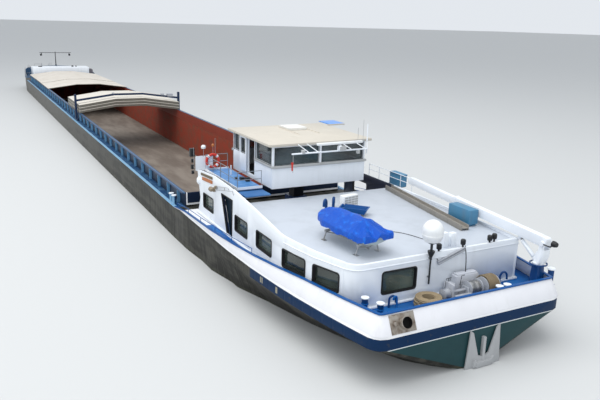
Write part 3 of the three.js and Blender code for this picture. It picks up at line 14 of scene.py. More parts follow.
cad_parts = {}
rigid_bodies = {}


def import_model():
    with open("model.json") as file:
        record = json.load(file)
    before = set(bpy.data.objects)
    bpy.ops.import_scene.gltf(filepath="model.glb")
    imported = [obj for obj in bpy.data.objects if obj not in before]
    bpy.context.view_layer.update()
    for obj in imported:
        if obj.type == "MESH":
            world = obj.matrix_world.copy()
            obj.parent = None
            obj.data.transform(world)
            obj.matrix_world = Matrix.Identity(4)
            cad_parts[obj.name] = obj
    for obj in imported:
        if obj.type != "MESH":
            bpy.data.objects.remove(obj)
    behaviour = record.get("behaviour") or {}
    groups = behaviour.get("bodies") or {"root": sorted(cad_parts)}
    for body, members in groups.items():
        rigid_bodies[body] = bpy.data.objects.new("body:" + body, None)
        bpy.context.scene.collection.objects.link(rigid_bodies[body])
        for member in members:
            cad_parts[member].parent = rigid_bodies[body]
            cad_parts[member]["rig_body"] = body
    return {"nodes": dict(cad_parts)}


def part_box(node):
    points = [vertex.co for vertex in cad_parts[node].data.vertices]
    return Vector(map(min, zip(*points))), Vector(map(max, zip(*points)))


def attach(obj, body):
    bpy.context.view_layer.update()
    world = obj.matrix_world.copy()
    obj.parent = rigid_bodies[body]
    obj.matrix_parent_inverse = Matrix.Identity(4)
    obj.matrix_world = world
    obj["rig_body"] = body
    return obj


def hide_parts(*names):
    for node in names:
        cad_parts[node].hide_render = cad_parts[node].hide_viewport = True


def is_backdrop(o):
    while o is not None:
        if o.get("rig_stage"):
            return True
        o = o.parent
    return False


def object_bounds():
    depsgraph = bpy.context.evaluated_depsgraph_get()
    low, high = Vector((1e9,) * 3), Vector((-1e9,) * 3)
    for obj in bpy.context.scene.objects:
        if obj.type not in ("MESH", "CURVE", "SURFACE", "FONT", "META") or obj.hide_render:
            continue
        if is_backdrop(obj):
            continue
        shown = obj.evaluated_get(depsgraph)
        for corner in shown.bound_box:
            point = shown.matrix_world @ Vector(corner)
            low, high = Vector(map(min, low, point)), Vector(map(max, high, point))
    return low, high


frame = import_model()
cad_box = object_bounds()

# %% [markdown]
# The barge is a 1:10 model. Places on it are easier to think of on the real vessel: metres forward of the
# transom, metres to port of the middle, and metres above the waterline. One small function turns them into
# the frame's own coordinates.

# %% Places on the vessel
SCALE = 0.1
HALF_LENGTH = 5.5
WATERLINE = 0.175


def spot(forward, port, height):
    return Vector((forward * SCALE - HALF_LENGTH, port * SCALE, height * SCALE + WATERLINE))


def between(table, at):
    """Straight-line value between the rows of a two-column table."""
    for (x0, y0), (x1, y1) in zip(table, table[1:]):
        if at <= x1:
            return y0 + (y1 - y0) * (max(at, x0) - x0) / (x1 - x0)
    return table[-1][1]


# %% [markdown]
# The photograph was taken from a bridge off the port quarter. The camera is set from its place on the real
# vessel, its three turns and its focal length, so the render lines up with the photograph.

# %% The camera
CAMERA_AT = spot(-16.032, 16.044, 12.245)
HEADING, TILT, ROLL = (math.radians(a) for a in (-28.055, -15.405, 1.606))
FOCAL_MM = 38.71
SENSOR_MM = 36
VIEW_DEPTH = 500


def camera_matrix():
    forward = Vector((math.cos(TILT) * math.cos(HEADING), math.cos(TILT) * math.sin(HEADING), math.sin(TILT)))
    level_right = Vector((math.sin(HEADING), -math.cos(HEADING), 0))
    level_up = level_right.cross(forward)
    right = level_right * math.cos(ROLL) + level_up * math.sin(ROLL)
    up = level_up * math.cos(ROLL) - level_right * math.sin(ROLL)
    turn = Matrix((right, up, -forward)).transposed().to_4x4()
    return Matrix.Translation(CAMERA_AT) @ turn


camera_data = bpy.data.cameras.new("bridge_camera")
camera_data.lens = FOCAL_MM
camera_data.sensor_width = SENSOR_MM
camera_data.clip_end = VIEW_DEPTH
camera = bpy.data.objects.new("bridge_camera", camera_data)
camera.matrix_world = camera_matrix()
bpy.context.scene.collection.objects.link(camera)
bpy.context.scene.camera = camera
bpy.context.scene.view_settings.view_transform = "Standard"
print("camera at", [round(v, 3) for v in CAMERA_AT])

# %% [markdown]
# A material is easiest to read as arithmetic. This class wraps one socket of a shader tree, so that
# `mask * 0.5` or `cloud + streak` adds the Math nodes by itself.


# %% Arithmetic on sockets
class Wire:
    def __init__(self, tree, socket):
        self.tree = tree
        self.socket = socket

    def math(self, operation, *values):
        node = self.tree.nodes.new("ShaderNodeMath")
        node.operation = operation
        for slot, value in zip(node.inputs, values):
            plug(self.tree, slot, value)
        return Wire(self.tree, node.outputs[0])

    def __add__(self, other):
        return self.math("ADD", self, other)

    def __sub__(self, other):
        return self.math("SUBTRACT", self, other)

    def __mul__(self, other):
        return self.math("MULTIPLY", self, other)

    def __truediv__(self, other):
        return self.math("DIVIDE", self, other)

    def over(self, edge):
        """1 where the value is above the edge, else 0."""
        return self.math("GREATER_THAN", self, edge)

    def under(self, edge):
        return self.math("LESS_THAN", self, edge)

    def inside(self, low, high):
        return self.over(low) * self.under(high)

    def size(self):
        return self.math("ABSOLUTE", self)

    def wave(self, pitch):
        """0 to 1 and back over each pitch."""
        return self.math("PINGPONG", self, pitch / 2) / (pitch / 2)

    def ramp(self, low, high):
        """Rises smoothly from 0 at low to 1 at high."""
        node = self.tree.nodes.new("ShaderNodeMapRange")
        node.interpolation_type = "SMOOTHSTEP"
        plug(self.tree, node.inputs["Value"], self)
        node.inputs["From Min"].default_value = low
        node.inputs["From Max"].default_value = high
        return Wire(self.tree, node.outputs[0])


def plug(tree, slot, value):
    """Links a wire to a socket, or sets the socket to a plain value."""
    if isinstance(value, Wire):
        tree.links.new(value.socket, slot)
    elif hasattr(value, "__len__") and len(value) == 3 and slot.type == "RGBA":
        slot.default_value = (*value, 1)
    else:
        slot.default_value = value


# %% [markdown]
# A finish is one Principled shader with what varies over it. Texture patterns read object coordinates in
# metres, which works because each piece lies at the origin with its place in its mesh.


# %% A finish
class Finish:
    def __init__(self, name, colour, roughness=0.5, **constants):
        self.material = bpy.data.materials.new(name)
        self.material.use_nodes = True
        self.tree = self.material.node_tree
        self.shader = self.tree.nodes["Principled BSDF"]
        self.set("Base Color", colour)
        self.set("Roughness", roughness)
        for socket, value in constants.items():
            self.set(socket.replace("_", " "), value)
        self.place = self.node("ShaderNodeTexCoord", output="Object")
        parts = self.tree.nodes.new("ShaderNodeSeparateXYZ")
        self.tree.links.new(self.place.socket, parts.inputs[0])
        self.x, self.y, self.z = (Wire(self.tree, s) for s in parts.outputs)

    def set(self, socket, value):
        plug(self.tree, self.shader.inputs[socket], value)

    def node(self, kind, settings=None, values=None, output=0):
        made = self.tree.nodes.new(kind)
        for key, value in (settings or {}).items():
            setattr(made, key, value)
        for key, value in (values or {}).items():
            plug(self.tree, made.inputs[key], value)
        return Wire(self.tree, made.outputs[output])

    def noise(self, scale, detail=3, stretch=(1, 1, 1)):
        """Cloudy noise from 0 to 1, with features about 1/scale metres wide."""
        place = self.node("ShaderNodeMapping", {}, {"Vector": self.place, "Scale": stretch})
        return self.node("ShaderNodeTexNoise", {}, {"Vector": place, "Scale": scale, "Detail": detail})

    def cells(self, scale, output=0, stretch=(1, 1, 1)):
        place = self.node("ShaderNodeMapping", {}, {"Vector": self.place, "Scale": stretch})
        return self.node("ShaderNodeTexVoronoi", {}, {"Vector": place, "Scale": scale}, output)

    def mix(self, factor, low, high):
        """A colour between two colours."""
        return self.node("ShaderNodeMix", {"data_type": "RGBA"}, {0: factor, 6: low, 7: high}, 2)

    def facing_up(self):
        """1 on faces that look up, 0 on walls and undersides."""
        normal = self.node("ShaderNodeNewGeometry", output="Normal")
        parts = self.tree.nodes.new("ShaderNodeSeparateXYZ")
        self.tree.links.new(normal.socket, parts.inputs[0])
        return Wire(self.tree, parts.outputs[2]).ramp(0.5, 0.8)

    def bump(self, height, depth):
        """Small relief, its depth in metres for a height from 0 to 1."""
        values = {"Height": height, "Distance": depth, "Strength": 1.0}
        self.set("Normal", self.node("ShaderNodeBump", {}, values))


def shade(colour, factor):
    return tuple(c * factor for c in colour)


# %% [markdown]
# ## Paint
# Marine enamel on steel plate is never flat: welding pulls the plates into shallow dimples, rain carries
# soot down in streaks, and rubbing dulls it. Each paint gets the same three effects in its own strength.

# %% Painted steel
FRAME_PITCH = 0.06
SOOT = (0.16, 0.15, 0.14)


def painted(name, colour, roughness, dirt, relief, soot=SOOT, overlay=None, shine=0.5):
    paint = Finish(name, colour, roughness, Specular_IOR_Level=shine)
    cloud = paint.noise(9, 4)
    streak = paint.noise(30, 3, (1, 1, 0.06))
    grime = (cloud * streak).ramp(0.22, 0.55) * dirt
    tone = paint.mix(cloud, shade(colour, 0.9), shade(colour, 1.06))
    colour = paint.mix(grime, tone, soot)
    paint.set("Base Color", overlay(paint, colour) if overlay else colour)
    paint.set("Roughness", grime * 0.5 + paint.noise(60) * 0.12 + (roughness - 0.06))
    dimple = paint.x.wave(FRAME_PITCH) * 0.5 + paint.noise(25) * 0.5
    paint.bump(dimple, relief)
    return paint


# Dark navy for the well under the wheelhouse: partly navy paint, partly painted shade.
WELL_NAVY_AND_SHADE = (0.006, 0.014, 0.036)
HOUSE_FORE = spot(11.515, 0, 0).x


def navy_and_shade_inside(paint, colour):
    """The faces that look into the well under the wheelhouse are dark navy, partly navy paint and partly
    painted shade. The reveal of the side doorway is darkened as painted shade.
    """
    inside = paint.x.over(HOUSE_FORE) * paint.y.inside(-0.4405, 0.4945)
    # The side doorway's reveal: painted shade.
    doorway = paint.x.inside(spot(11.45, 0, 0).x, spot(13.05, 0, 0).x) * paint.y.inside(0.486, 0.4996)
    return paint.mix(inside + doorway * paint.z.under(0.5745), colour, WELL_NAVY_AND_SHADE)


white_enamel = painted("white_enamel", (0.8, 0.84, 0.89), 0.34, 0.16, 0.0004)
house_white = painted("house_enamel", (0.8, 0.84, 0.89), 0.34, 0.2, 0.0004, overlay=navy_and_shade_inside)
warm_white = painted("warm_white_enamel", (0.78, 0.785, 0.82), 0.36, 0.22, 0.0004, (0.34, 0.32, 0.28))
cap_blue = painted("cap_rail_blue", (0.003, 0.075, 0.27), 0.3, 0.1, 0.0002, shine=0.2)
crane_blue = painted("crane_base_blue", (0.003, 0.045, 0.17), 0.34, 0.12, 0.0002, shine=0.25)
# Navy paint darkened with painted shade, for the faces inside the well.
well_navy_and_shade = painted("well_navy_and_shade", WELL_NAVY_AND_SHADE, 0.5, 0.2, 0.0002, shine=0.15)
door_blue = painted("dark_blue_door", (0.003, 0.014, 0.026), 0.5, 0.15, 0.0002, shine=0.1)
board_blue = painted("signal_board_blue", (0.12, 0.3, 0.72), 0.35, 0.08, 0.0001)
locker_teal = painted("locker_teal", (0.055, 0.2, 0.34), 0.45, 0.35, 0.0003)
beam_blue = painted("gantry_blue", (0.006, 0.02, 0.06), 0.45, 0.2, 0.0002, shine=0.25)
sill_grey = painted("sill_grey", (0.42, 0.43, 0.43), 0.5, 0.3, 0.0002)
machine_grey = painted("machine_grey", (0.36, 0.38, 0.42), 0.45, 0.45, 0.0004, (0.1, 0.09, 0.08))
casing_grey = painted("winch_casing_grey", (0.55, 0.57, 0.62), 0.4, 0.3, 0.0003)
anchor_grey = painted("anchor_grey", (0.36, 0.37, 0.38), 0.5, 0.4, 0.0008, (0.16, 0.14, 0.12))
bow_grey = painted("bow_machine_grey", (0.13, 0.12, 0.14), 0.5, 0.4, 0.0003)
mast_grey = painted("mast_dark_grey", (0.03, 0.033, 0.037), 0.5, 0.3, 0.0002, shine=0.25)
print("paints ready")

# %% [markdown]
# The hull is painted in bands. The heights and the places of the bands are measured on the photograph, and
# a mask for each comes from the object coordinates. Below the white runs a dark, scuffed side; round the
# stern it carries a navy stripe with a thin pale line, and the transom under that is teal.

# %% The hull's coating
STRIPE = (0.328, 0.371)
STRIPE_END = spot(8.0, 0, 0).x
PALE_LINE = 0.0035
TRANSOM = -HALF_LENGTH + 0.0008
MARKS_X = ((-4.81, -4.802), (-4.797, -4.789), (-4.93, -4.915))
MARKS_Z = (0.336, 0.362)
HOLD_X = (spot(18.5, 0, 0).x - 0.0007, spot(100, 0, 0).x + 0.0007)
HOLD_HALF = 0.5035
FLOOR_TOP = 0.0495
DECK_LINE = 0.3596
WALKWAY_HALF = 0.551
WELL_FLOOR = 0.3822
WELL_HALF = 0.5
WEED_TOP = 0.19
PLATE_LENGTH, PLATE_HEIGHT = 0.6, 0.15
NAVY = (0.002, 0.022, 0.072)
TEAL = (0.014, 0.042, 0.047)
TAR = (0.014, 0.0135, 0.011)
SCUFF = (0.055, 0.054, 0.045)
BOW_SCUFF_AND_LIGHT = (0.12, 0.118, 0.108)
RUST_RED = (0.3, 0.052, 0.03)
SIDE_DECK_BLUE = (0.13, 0.36, 0.62)


def hull_side(coat, scrape, drip):
    """Tar-dark plates, paler towards the bow, with seams between them and weed at the waterline. The paling
    is partly scuffing and partly painted reflection that darkens the stern.
    """
    # Darker towards the stern: partly real, partly a painted reflection of dark water.
    forward = coat.x.ramp(-4.2, 3.5)
    wear = (scrape * 0.7 + drip * 0.35 + forward * 0.14).ramp(0.45, 0.62)
    side = coat.mix(wear, coat.mix(forward, TAR, SCUFF), coat.mix(forward, SCUFF, BOW_SCUFF_AND_LIGHT))
    seams = coat.x.wave(PLATE_LENGTH).ramp(0.97, 0.995) + coat.z.wave(PLATE_HEIGHT).ramp(0.96, 0.99)
    side = coat.mix(seams * 0.45, side, TAR)
    weed = coat.z.under(WEED_TOP) * coat.noise(20).ramp(0.3, 0.6)
    return coat.mix(weed * 0.6, side, (0.05, 0.055, 0.035))


def stern_bands(coat, side, scrape):
    """The teal transom, the worn navy stripe with its pale line, small pale marks, and white above."""
    aft = coat.x.under(TRANSOM)
    colour = coat.mix(aft * coat.z.under(STRIPE[0]), side, coat.mix(scrape, TEAL, shade(TEAL, 1.5)))
    worn = coat.noise(50, 5).ramp(0.62, 0.7)
    stripe = coat.z.inside(*STRIPE) * coat.x.under(STRIPE_END)
    colour = coat.mix(stripe, colour, coat.mix(worn * 0.35, NAVY, SCUFF))
    first, second, third = (coat.x.inside(*ends) for ends in MARKS_X)
    marks = (first + second + third) * coat.z.inside(*MARKS_Z) * coat.y.over(0)
    colour = coat.mix(marks, colour, (0.3, 0.28, 0.21))
    line = coat.z.inside(STRIPE[0] - PALE_LINE, STRIPE[0]) * aft
    colour = coat.mix(line, colour, (0.6, 0.63, 0.64))
    return coat.mix(coat.z.over(STRIPE[1]) * coat.x.under(HOLD_X[0]), colour, (0.78, 0.79, 0.81))


def side_decks(coat, colour, drip):
    """A walkway along the coaming darkened as painted shade, a light blue edge outside it, and navy with
    painted shade in the house's well.
    """
    # The walkway's dark blue is painted shade under the coaming's flange and stays.
    shaded_walk = coat.mix(coat.noise(18, 4).ramp(0.4, 0.75), (0.015, 0.06, 0.15), (0.07, 0.15, 0.25))
    edge = coat.mix(drip, SIDE_DECK_BLUE, (0.3, 0.42, 0.5))
    deck = coat.z.over(DECK_LINE) * coat.x.inside(*HOLD_X)
    colour = coat.mix(deck, colour, coat.mix(coat.y.size().over(WALKWAY_HALF), shaded_walk, edge))
    # The well's navy: partly paint, partly painted shade.
    well = coat.z.over(WELL_FLOOR) * coat.y.size().under(WELL_HALF) * coat.x.inside(HOUSE_FORE, HOLD_X[0])
    return coat.mix(well, colour, WELL_NAVY_AND_SHADE)


def hold_lining(coat):
    """Rust red sides, and the worn grey-brown ceiling, as the floor of a hold is called."""
    rust = coat.mix(coat.noise(12, 5).ramp(0.35, 0.7), RUST_RED, (0.2, 0.07, 0.045))
    cloud = coat.noise(9, 5, (0.3, 1, 1)).ramp(0.35, 0.7)
    ceiling = coat.mix(cloud, (0.15, 0.125, 0.105), (0.23, 0.2, 0.17))
    return coat.mix(coat.z.under(FLOOR_TOP + 0.002), rust, ceiling)


def hull_coating():
    coat = Finish("hull_coating", TAR, 0.55, Specular_IOR_Level=0.14)
    scrape = coat.noise(14, 6, (0.25, 1, 1.6))
    drip = coat.noise(40, 3, (1, 1, 0.08))
    colour = stern_bands(coat, hull_side(coat, scrape, drip), scrape)
    colour = side_decks(coat, colour, drip)
    hold = coat.y.size().under(HOLD_HALF) * coat.x.inside(*HOLD_X) * coat.z.over(FLOOR_TOP)
    coat.set("Base Color", coat.mix(hold, colour, hold_lining(coat)))
    coat.set("Roughness", scrape * 0.25 + hold * 0.2 + 0.35)
    frames = coat.x.wave(FRAME_PITCH).ramp(0.0, 0.25)
    coat.bump(scrape * 0.4 + frames * 0.6, 0.0009)
    return coat


hull_paint = hull_coating()

# %% [markdown]
# The decks are strong blue with a gritty non-slip coat that wears pale in patches. The roof of the house has
# the same coat in a cool grey-white, because cars can park on it.


# %% Decks
def deck_paint(name, colour, worn, scale=160):
    deck = Finish(name, colour, 0.5, Specular_IOR_Level=0.25)
    patches = deck.noise(7, 5).ramp(0.45, 0.72)
    deck.set("Base Color", deck.mix(patches * 0.55, colour, worn))
    deck.set("Roughness", patches * 0.2 + 0.42)
    deck.bump(deck.noise(scale, 2), 0.0005)
    return deck


blue_deck = deck_paint("blue_deck", (0.004, 0.1, 0.36), (0.02, 0.17, 0.45))
bulwark_blue = deck_paint("bulwark_blue", (0.02, 0.075, 0.16), (0.08, 0.15, 0.24))
roof_white = deck_paint("roof_deck_white", (0.5, 0.54, 0.6), (0.4, 0.43, 0.47))


WEB_FACE = 0.5074
FLANGE_FOOT, FLANGE_TOP = 0.4368, 0.4425
FLANGE_BAND = (0.5125, 0.5165)
HOLD_FACE = 0.5032


def coaming_paint():
    """Light blue stays against a near-black web, dark blue paint with painted shade between the stays, a
    mid-blue flange, and rust red inside the hold.
    """
    paint = Finish("coaming_paint", SIDE_DECK_BLUE, 0.45)
    reach = paint.y.size()
    colour = paint.mix(paint.noise(30, 4), (0.09, 0.26, 0.46), (0.17, 0.37, 0.58))
    # The web between the stays: dark blue paint darkened further as painted shade.
    colour = paint.mix(reach.under(WEB_FACE), colour, (0.004, 0.012, 0.035))
    band = paint.mix(reach.inside(*FLANGE_BAND), (0.008, 0.035, 0.1), (0.05, 0.19, 0.36))
    colour = paint.mix(paint.z.over(FLANGE_FOOT), colour, band)
    inner = reach.under(HOLD_FACE) * paint.z.under(FLANGE_TOP)
    colour = paint.mix(inner, colour, paint.mix(paint.noise(15, 4), RUST_RED, shade(RUST_RED, 0.7)))
    paint.set("Base Color", colour)
    paint.set("Roughness", paint.noise(50) * 0.2 + 0.35)
    return paint


coaming_finish = coaming_paint()


def cover_paint():
    """Cream hatch covers with pressed ribs across them, dark on every face that does not look up as painted
    shade.
    """
    cover = Finish("cover_cream", (0.6, 0.55, 0.48), 0.6)
    rib = cover.x.wave(0.05).ramp(0.62, 0.9)
    dirt = cover.noise(6, 5).ramp(0.4, 0.75)
    colour = cover.mix(dirt * 0.5, (0.7, 0.65, 0.58), (0.55, 0.49, 0.41))
    colour = cover.mix(rib * 0.16, colour, (0.3, 0.27, 0.23))
    # Faces that do not look up take a dark brown: painted shade.
    cover.set("Base Color", cover.mix(cover.facing_up(), (0.2, 0.185, 0.155), colour))
    cover.bump(rib, 0.003)
    return cover


cover_cream = cover_paint()
roof_cream = painted("wheelhouse_roof_cream", (0.56, 0.52, 0.45), 0.6, 0.3, 0.0003, (0.3, 0.27, 0.22))


# The stack is cream on faces that look up; the dark taupe on its ends and sides is painted shade.
def cream_top_over_painted_shade(paint, colour):
    return paint.mix(paint.facing_up(), colour, (0.66, 0.62, 0.55))


stack_shade_taupe = painted("stack_painted_shade", (0.17, 0.16, 0.135), 0.6, 0.4, 0.0003, overlay=cream_top_over_painted_shade)
edge_cream = painted("cover_edge_cream", (0.62, 0.59, 0.52), 0.6, 0.3, 0.0002)

# %% [markdown]
# Hot-dip galvanizing has a spangle of zinc crystals, which a cell pattern imitates in both tone and
# roughness. Bare metals show a fine brushed grain. Bronze stays bright where water runs over it.


# %% Metals
def galvanized(name="galvanized_steel", tone=0.44):
    zinc = Finish(name, (tone, tone, tone), 0.45, Metallic=0.85)
    spangle = zinc.cells(180, "Color")
    grey = zinc.node("ShaderNodeRGBToBW", {}, {"Color": spangle})
    stain = zinc.noise(16, 4).ramp(0.45, 0.75)
    colour = zinc.mix(grey, (tone * 0.75, tone * 0.78, tone * 0.8), (tone * 1.15, tone * 1.17, tone * 1.2))
    zinc.set("Base Color", zinc.mix(stain * 0.5, colour, (0.17, 0.15, 0.13)))
    zinc.set("Roughness", grey * 0.2 + stain * 0.2 + 0.3)
    zinc.bump(zinc.noise(120), 0.0002)
    return zinc


def bare_metal(name, colour, roughness):
    metal = Finish(name, colour, roughness, Metallic=1.0)
    brushed = metal.noise(90, 4, (0.1, 1, 1))
    metal.set("Base Color", metal.mix(brushed, shade(colour, 0.8), colour))
    metal.set("Roughness", brushed * 0.2 + (roughness - 0.1))
    return metal

MOUTH_AT = (-5.4845, 0.323, 0.412)
MOUTH_SLANT = math.atan(0.033 / 0.068)
MOUTH_RADIUS = 0.0204
MOUTH_DEPTH = 0.0024


def outlet_steel():
    """Stainless steel, heat-stained round the mouth, and black inside it: soot, and painted shade of the
    bore.
    """
    steel = Finish("exhaust_steel", (0.3, 0.28, 0.25), 0.4, Metallic=0.5)
    dx, dy, dz = (axis - at for axis, at in zip((steel.x, steel.y, steel.z), MOUTH_AT))
    rise = dx * math.sin(MOUTH_SLANT) + dz * math.cos(MOUTH_SLANT)
    along = dz * math.sin(MOUTH_SLANT) - dx * math.cos(MOUTH_SLANT)
    reach = dy * dy + rise * rise
    stain = steel.mix(steel.noise(40, 4).ramp(0.35, 0.7), (0.36, 0.33, 0.29), (0.17, 0.13, 0.1))
    # Black inside the mouth: soot, and painted shade of the bore.
    mouth = reach.under(MOUTH_RADIUS**2) * along.over(MOUTH_DEPTH)
    steel.set("Base Color", steel.mix(mouth, stain, (0.004, 0.004, 0.004)))
    steel.set("Roughness", mouth * 0.4 + 0.42)
    return steel


exhaust_steel = outlet_steel()
zinc_steel = galvanized()
dull_zinc = galvanized("weathered_zinc", 0.3)
plank_metal = painted("gangplank_weathered", (0.24, 0.225, 0.2), 0.5, 0.5, 0.0003, (0.08, 0.07, 0.06))
stainless = bare_metal("stainless_steel", (0.6, 0.58, 0.54), 0.28)
bronze = bare_metal("propeller_bronze", (0.62, 0.4, 0.16), 0.3)


# %% [markdown]
# Moulded things share one fine grain in tone and relief. Panes are never quite flat, so the glass carries a
# slow ripple that bends what it mirrors. The same ripple makes the glass lighter and darker in patches,
# which is painted reflection.


# %% Plastics, rubber and glass
def moulded(name, colour, roughness, grain=140, depth=0.0002, **constants):
    body = Finish(name, colour, roughness, **constants)
    fine = body.noise(grain, 3)
    body.set("Base Color", body.mix(fine, shade(colour, 0.85), shade(colour, 1.08)))
    body.bump(fine, depth)
    return body


gel_coat = moulded("white_gel_coat", (0.8, 0.82, 0.83), 0.25, 20, 0.0001)
boat_grey = moulded("boat_gel_coat", (0.42, 0.5, 0.53), 0.3, 20, 0.0001)
black_rubber = moulded("black_rubber", (0.016, 0.016, 0.017), 0.6, Specular_IOR_Level=0.25)
black_plastic = moulded("black_plastic", (0.02, 0.021, 0.023), 0.42, Specular_IOR_Level=0.3)
ring_red = moulded("lifebuoy_red", (0.62, 0.035, 0.02), 0.5)
blind_fabric = moulded("blind_slats", (0.5, 0.52, 0.46), 0.8, 300)
sign_orange = moulded("blank_sign_orange", (0.42, 0.13, 0.03), 0.5)
sign_brown = moulded("blank_sign_brown", (0.13, 0.1, 0.06), 0.6)
lamp_bronze = painted("lamp_bronze", (0.24, 0.19, 0.13), 0.4, 0.4, 0.0002)
platform_step = deck_paint("platform_step_blue", (0.03, 0.13, 0.34), (0.1, 0.25, 0.5))
hatch_white = painted("hatch_white", (0.76, 0.76, 0.73), 0.45, 0.2, 0.0001)


def window_glass(name, tint, alpha):
    glass = Finish(name, tint, 0.06, Alpha=alpha, Coat_Weight=0.6, Coat_Roughness=0.03)
    ripple = glass.noise(5, 2)
    # Lighter and darker patches of tint along the ripple: painted reflection.
    glass.set("Base Color", glass.mix(ripple.ramp(0.3, 0.7), shade(tint, 0.4), shade(tint, 2.2)))
    glass.bump(ripple, 0.001)
    return glass


house_pane = window_glass("house_window_glass", (0.06, 0.078, 0.068), 0.78)
bridge_pane = window_glass("wheelhouse_window_glass", (0.035, 0.05, 0.055), 0.72)


# %% [markdown]
# Laid rope shows its strands on a slant, which needs a map that runs along and round the rope. A coated
# cloth has a weave too fine to see from afar, and the crests of its creases are lighter as painted highlight.


# %% Rope and tarpaulin
def laid_rope(name, colour, lay=0.006):
    """Rope of three strands: the UV map runs along and round it, and the strands cross it on a slant. The
    grooves between them are painted shade, the crowns painted highlight.
    """
    rope = Finish(name, colour, 0.85)
    uv = rope.node("ShaderNodeUVMap", {"uv_map": "run"})
    parts = rope.tree.nodes.new("ShaderNodeSeparateXYZ")
    rope.tree.links.new(uv.socket, parts.inputs[0])
    along, around = (Wire(rope.tree, s) for s in parts.outputs[:2])
    strand = (along / lay + around * 3).wave(1.0)
    fibre = rope.noise(500, 2)
    # Darker grooves between the strands are painted shade, lighter crowns painted highlight.
    tone = rope.mix(strand, shade(colour, 0.45), shade(colour, 1.15))
    rope.set("Base Color", rope.mix(fibre * 0.5, tone, shade(colour, 0.6)))
    rope.bump(strand * 0.8 + fibre * 0.2, 0.0006)
    return rope


tan_rope = laid_rope("tan_mooring_rope", (0.4, 0.31, 0.19))


def tarpaulin():
    """Coated fabric: a fine weave under a slight sheen, lighter on the crests of its creases as painted
    highlight.
    """
    cloth = Finish("blue_tarpaulin", (0.006, 0.1, 0.6), 0.36, Specular_IOR_Level=0.25)
    crease = cloth.noise(34, 4, (1, 1.6, 1))
    crease_highlight = crease.ramp(0.5, 0.8)
    # The lighter blue on the crease crests is painted highlight.
    cloth.set("Base Color", cloth.mix(crease_highlight, (0.003, 0.085, 0.52), (0.012, 0.2, 0.8)))
    weave = cloth.x.wave(0.0016) * 0.1 + cloth.y.wave(0.0016) * 0.1
    cloth.bump(weave + crease, 0.004)
    return cloth


tarp_blue = tarpaulin()
print(len(bpy.data.materials), "materials")

# %% [markdown]
# The part's record lists a few material slots. Most finishes always go with the same slot, so a table says
# it once.

# %% Slots of the finishes
SLOTS = {
    "hull_paint": [hull_paint],
    "white_paint": [white_enamel, house_white, warm_white, roof_white, hatch_white, sill_grey],
    "blue_paint": [blue_deck, bulwark_blue, cap_blue, crane_blue, board_blue, beam_blue, platform_step],
    "cream_paint": [roof_cream, stack_shade_taupe, edge_cream, sign_brown, sign_orange],
    "coaming_paint": [locker_teal],
    "dark_paint": [door_blue],
    "galvanized": [
        zinc_steel, dull_zinc, stainless, exhaust_steel, machine_grey, casing_grey, anchor_grey, bow_grey,
    ],
    "aluminium": [plank_metal],
    "bronze": [bronze, lamp_bronze],
    "grp": [gel_coat, boat_grey],
    "black_fittings": [black_rubber, black_plastic, blind_fabric, mast_grey, ring_red],
    "rope": [tan_rope],
    "tarpaulin": [tarp_blue],
}
for slot_name, finishes in SLOTS.items():
    for finish in finishes:
        finish.slot = slot_name

# %% [markdown]
# ## Making pieces
# Every new piece ends as a plain mesh at the origin that rides on a body of the CAD model and takes its
# finish. One function does that last step for all of them.


# %% Finishing a piece
def finish_piece(obj, finish, smooth=35, body="barge", slot=None):
    slot = slot or finish.slot
    obj.data.materials.clear()
    obj.data.materials.append(finish.material)
    if smooth:
        obj.data.shade_smooth()
        obj.data.set_sharp_from_angle(angle=math.radians(smooth))
    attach(obj, body)
    print(f"{obj.name}: {len(obj.data.polygons)} faces on {body}")
    return obj


def new_object(name, mesh):
    obj = bpy.data.objects.new(name, mesh)
    bpy.context.scene.collection.objects.link(obj)
    return obj


def from_bmesh(name, shape):
    mesh = bpy.data.meshes.new(name)
    bmesh.ops.recalc_face_normals(shape, faces=shape.faces)
    shape.to_mesh(mesh)
    shape.free()
    return new_object(name, mesh)


def baked(obj, name):
    """The object with its modifiers applied, as a plain mesh, and the old object removed."""
    graph = bpy.context.evaluated_depsgraph_get()
    mesh = bpy.data.meshes.new_from_object(obj.evaluated_get(graph), depsgraph=graph)
    bpy.data.objects.remove(obj)
    mesh.name = name
    return new_object(name, mesh)


# %% [markdown]
# Real plates and castings have broken edges that catch the light. A twin of a CAD node is a merged copy
# with a small bevel and smooth shading, and it stands in for the node. The CAD meshes stay as they are.


# %% Twins with soft edges
def twin(node, finish, bevel, angle=40, slot=None):
    source = frame["nodes"][node]
    shape = bmesh.new()
    shape.from_mesh(source.data)
    bmesh.ops.remove_doubles(shape, verts=shape.verts, dist=1e-5)
    bmesh.ops.dissolve_limit(shape, angle_limit=math.radians(0.5), verts=shape.verts, edges=shape.edges)
    obj = from_bmesh(node + "_piece", shape)
    edge = obj.modifiers.new("bevel", "BEVEL")
    edge.width = bevel
    edge.segments = 2
    edge.limit_method = "ANGLE"
    edge.angle_limit = math.radians(angle)
    edge.use_clamp_overlap = True
    obj = baked(obj, node + "_piece")
    finish_piece(obj, finish, angle, source["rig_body"], slot)
    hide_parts(node)
    return obj


def dress(node, finish):
    """A CAD node whose own mesh is right gets its finish."""
    for material_slot in frame["nodes"][node].material_slots:
        material_slot.material = finish.material


# %% [markdown]
# Large flat plates and panes are right as the CAD made them, and only take a finish. Most things with an
# edge that the camera can see get a twin, and the second table lists them.

# %% Which node gets which finish
PLATFORM_X = (-4.2339, -3.7761)
PLATFORM_RIM = 0.4259
PLATFORM_FLOOR = (0.5905, 0.6035)


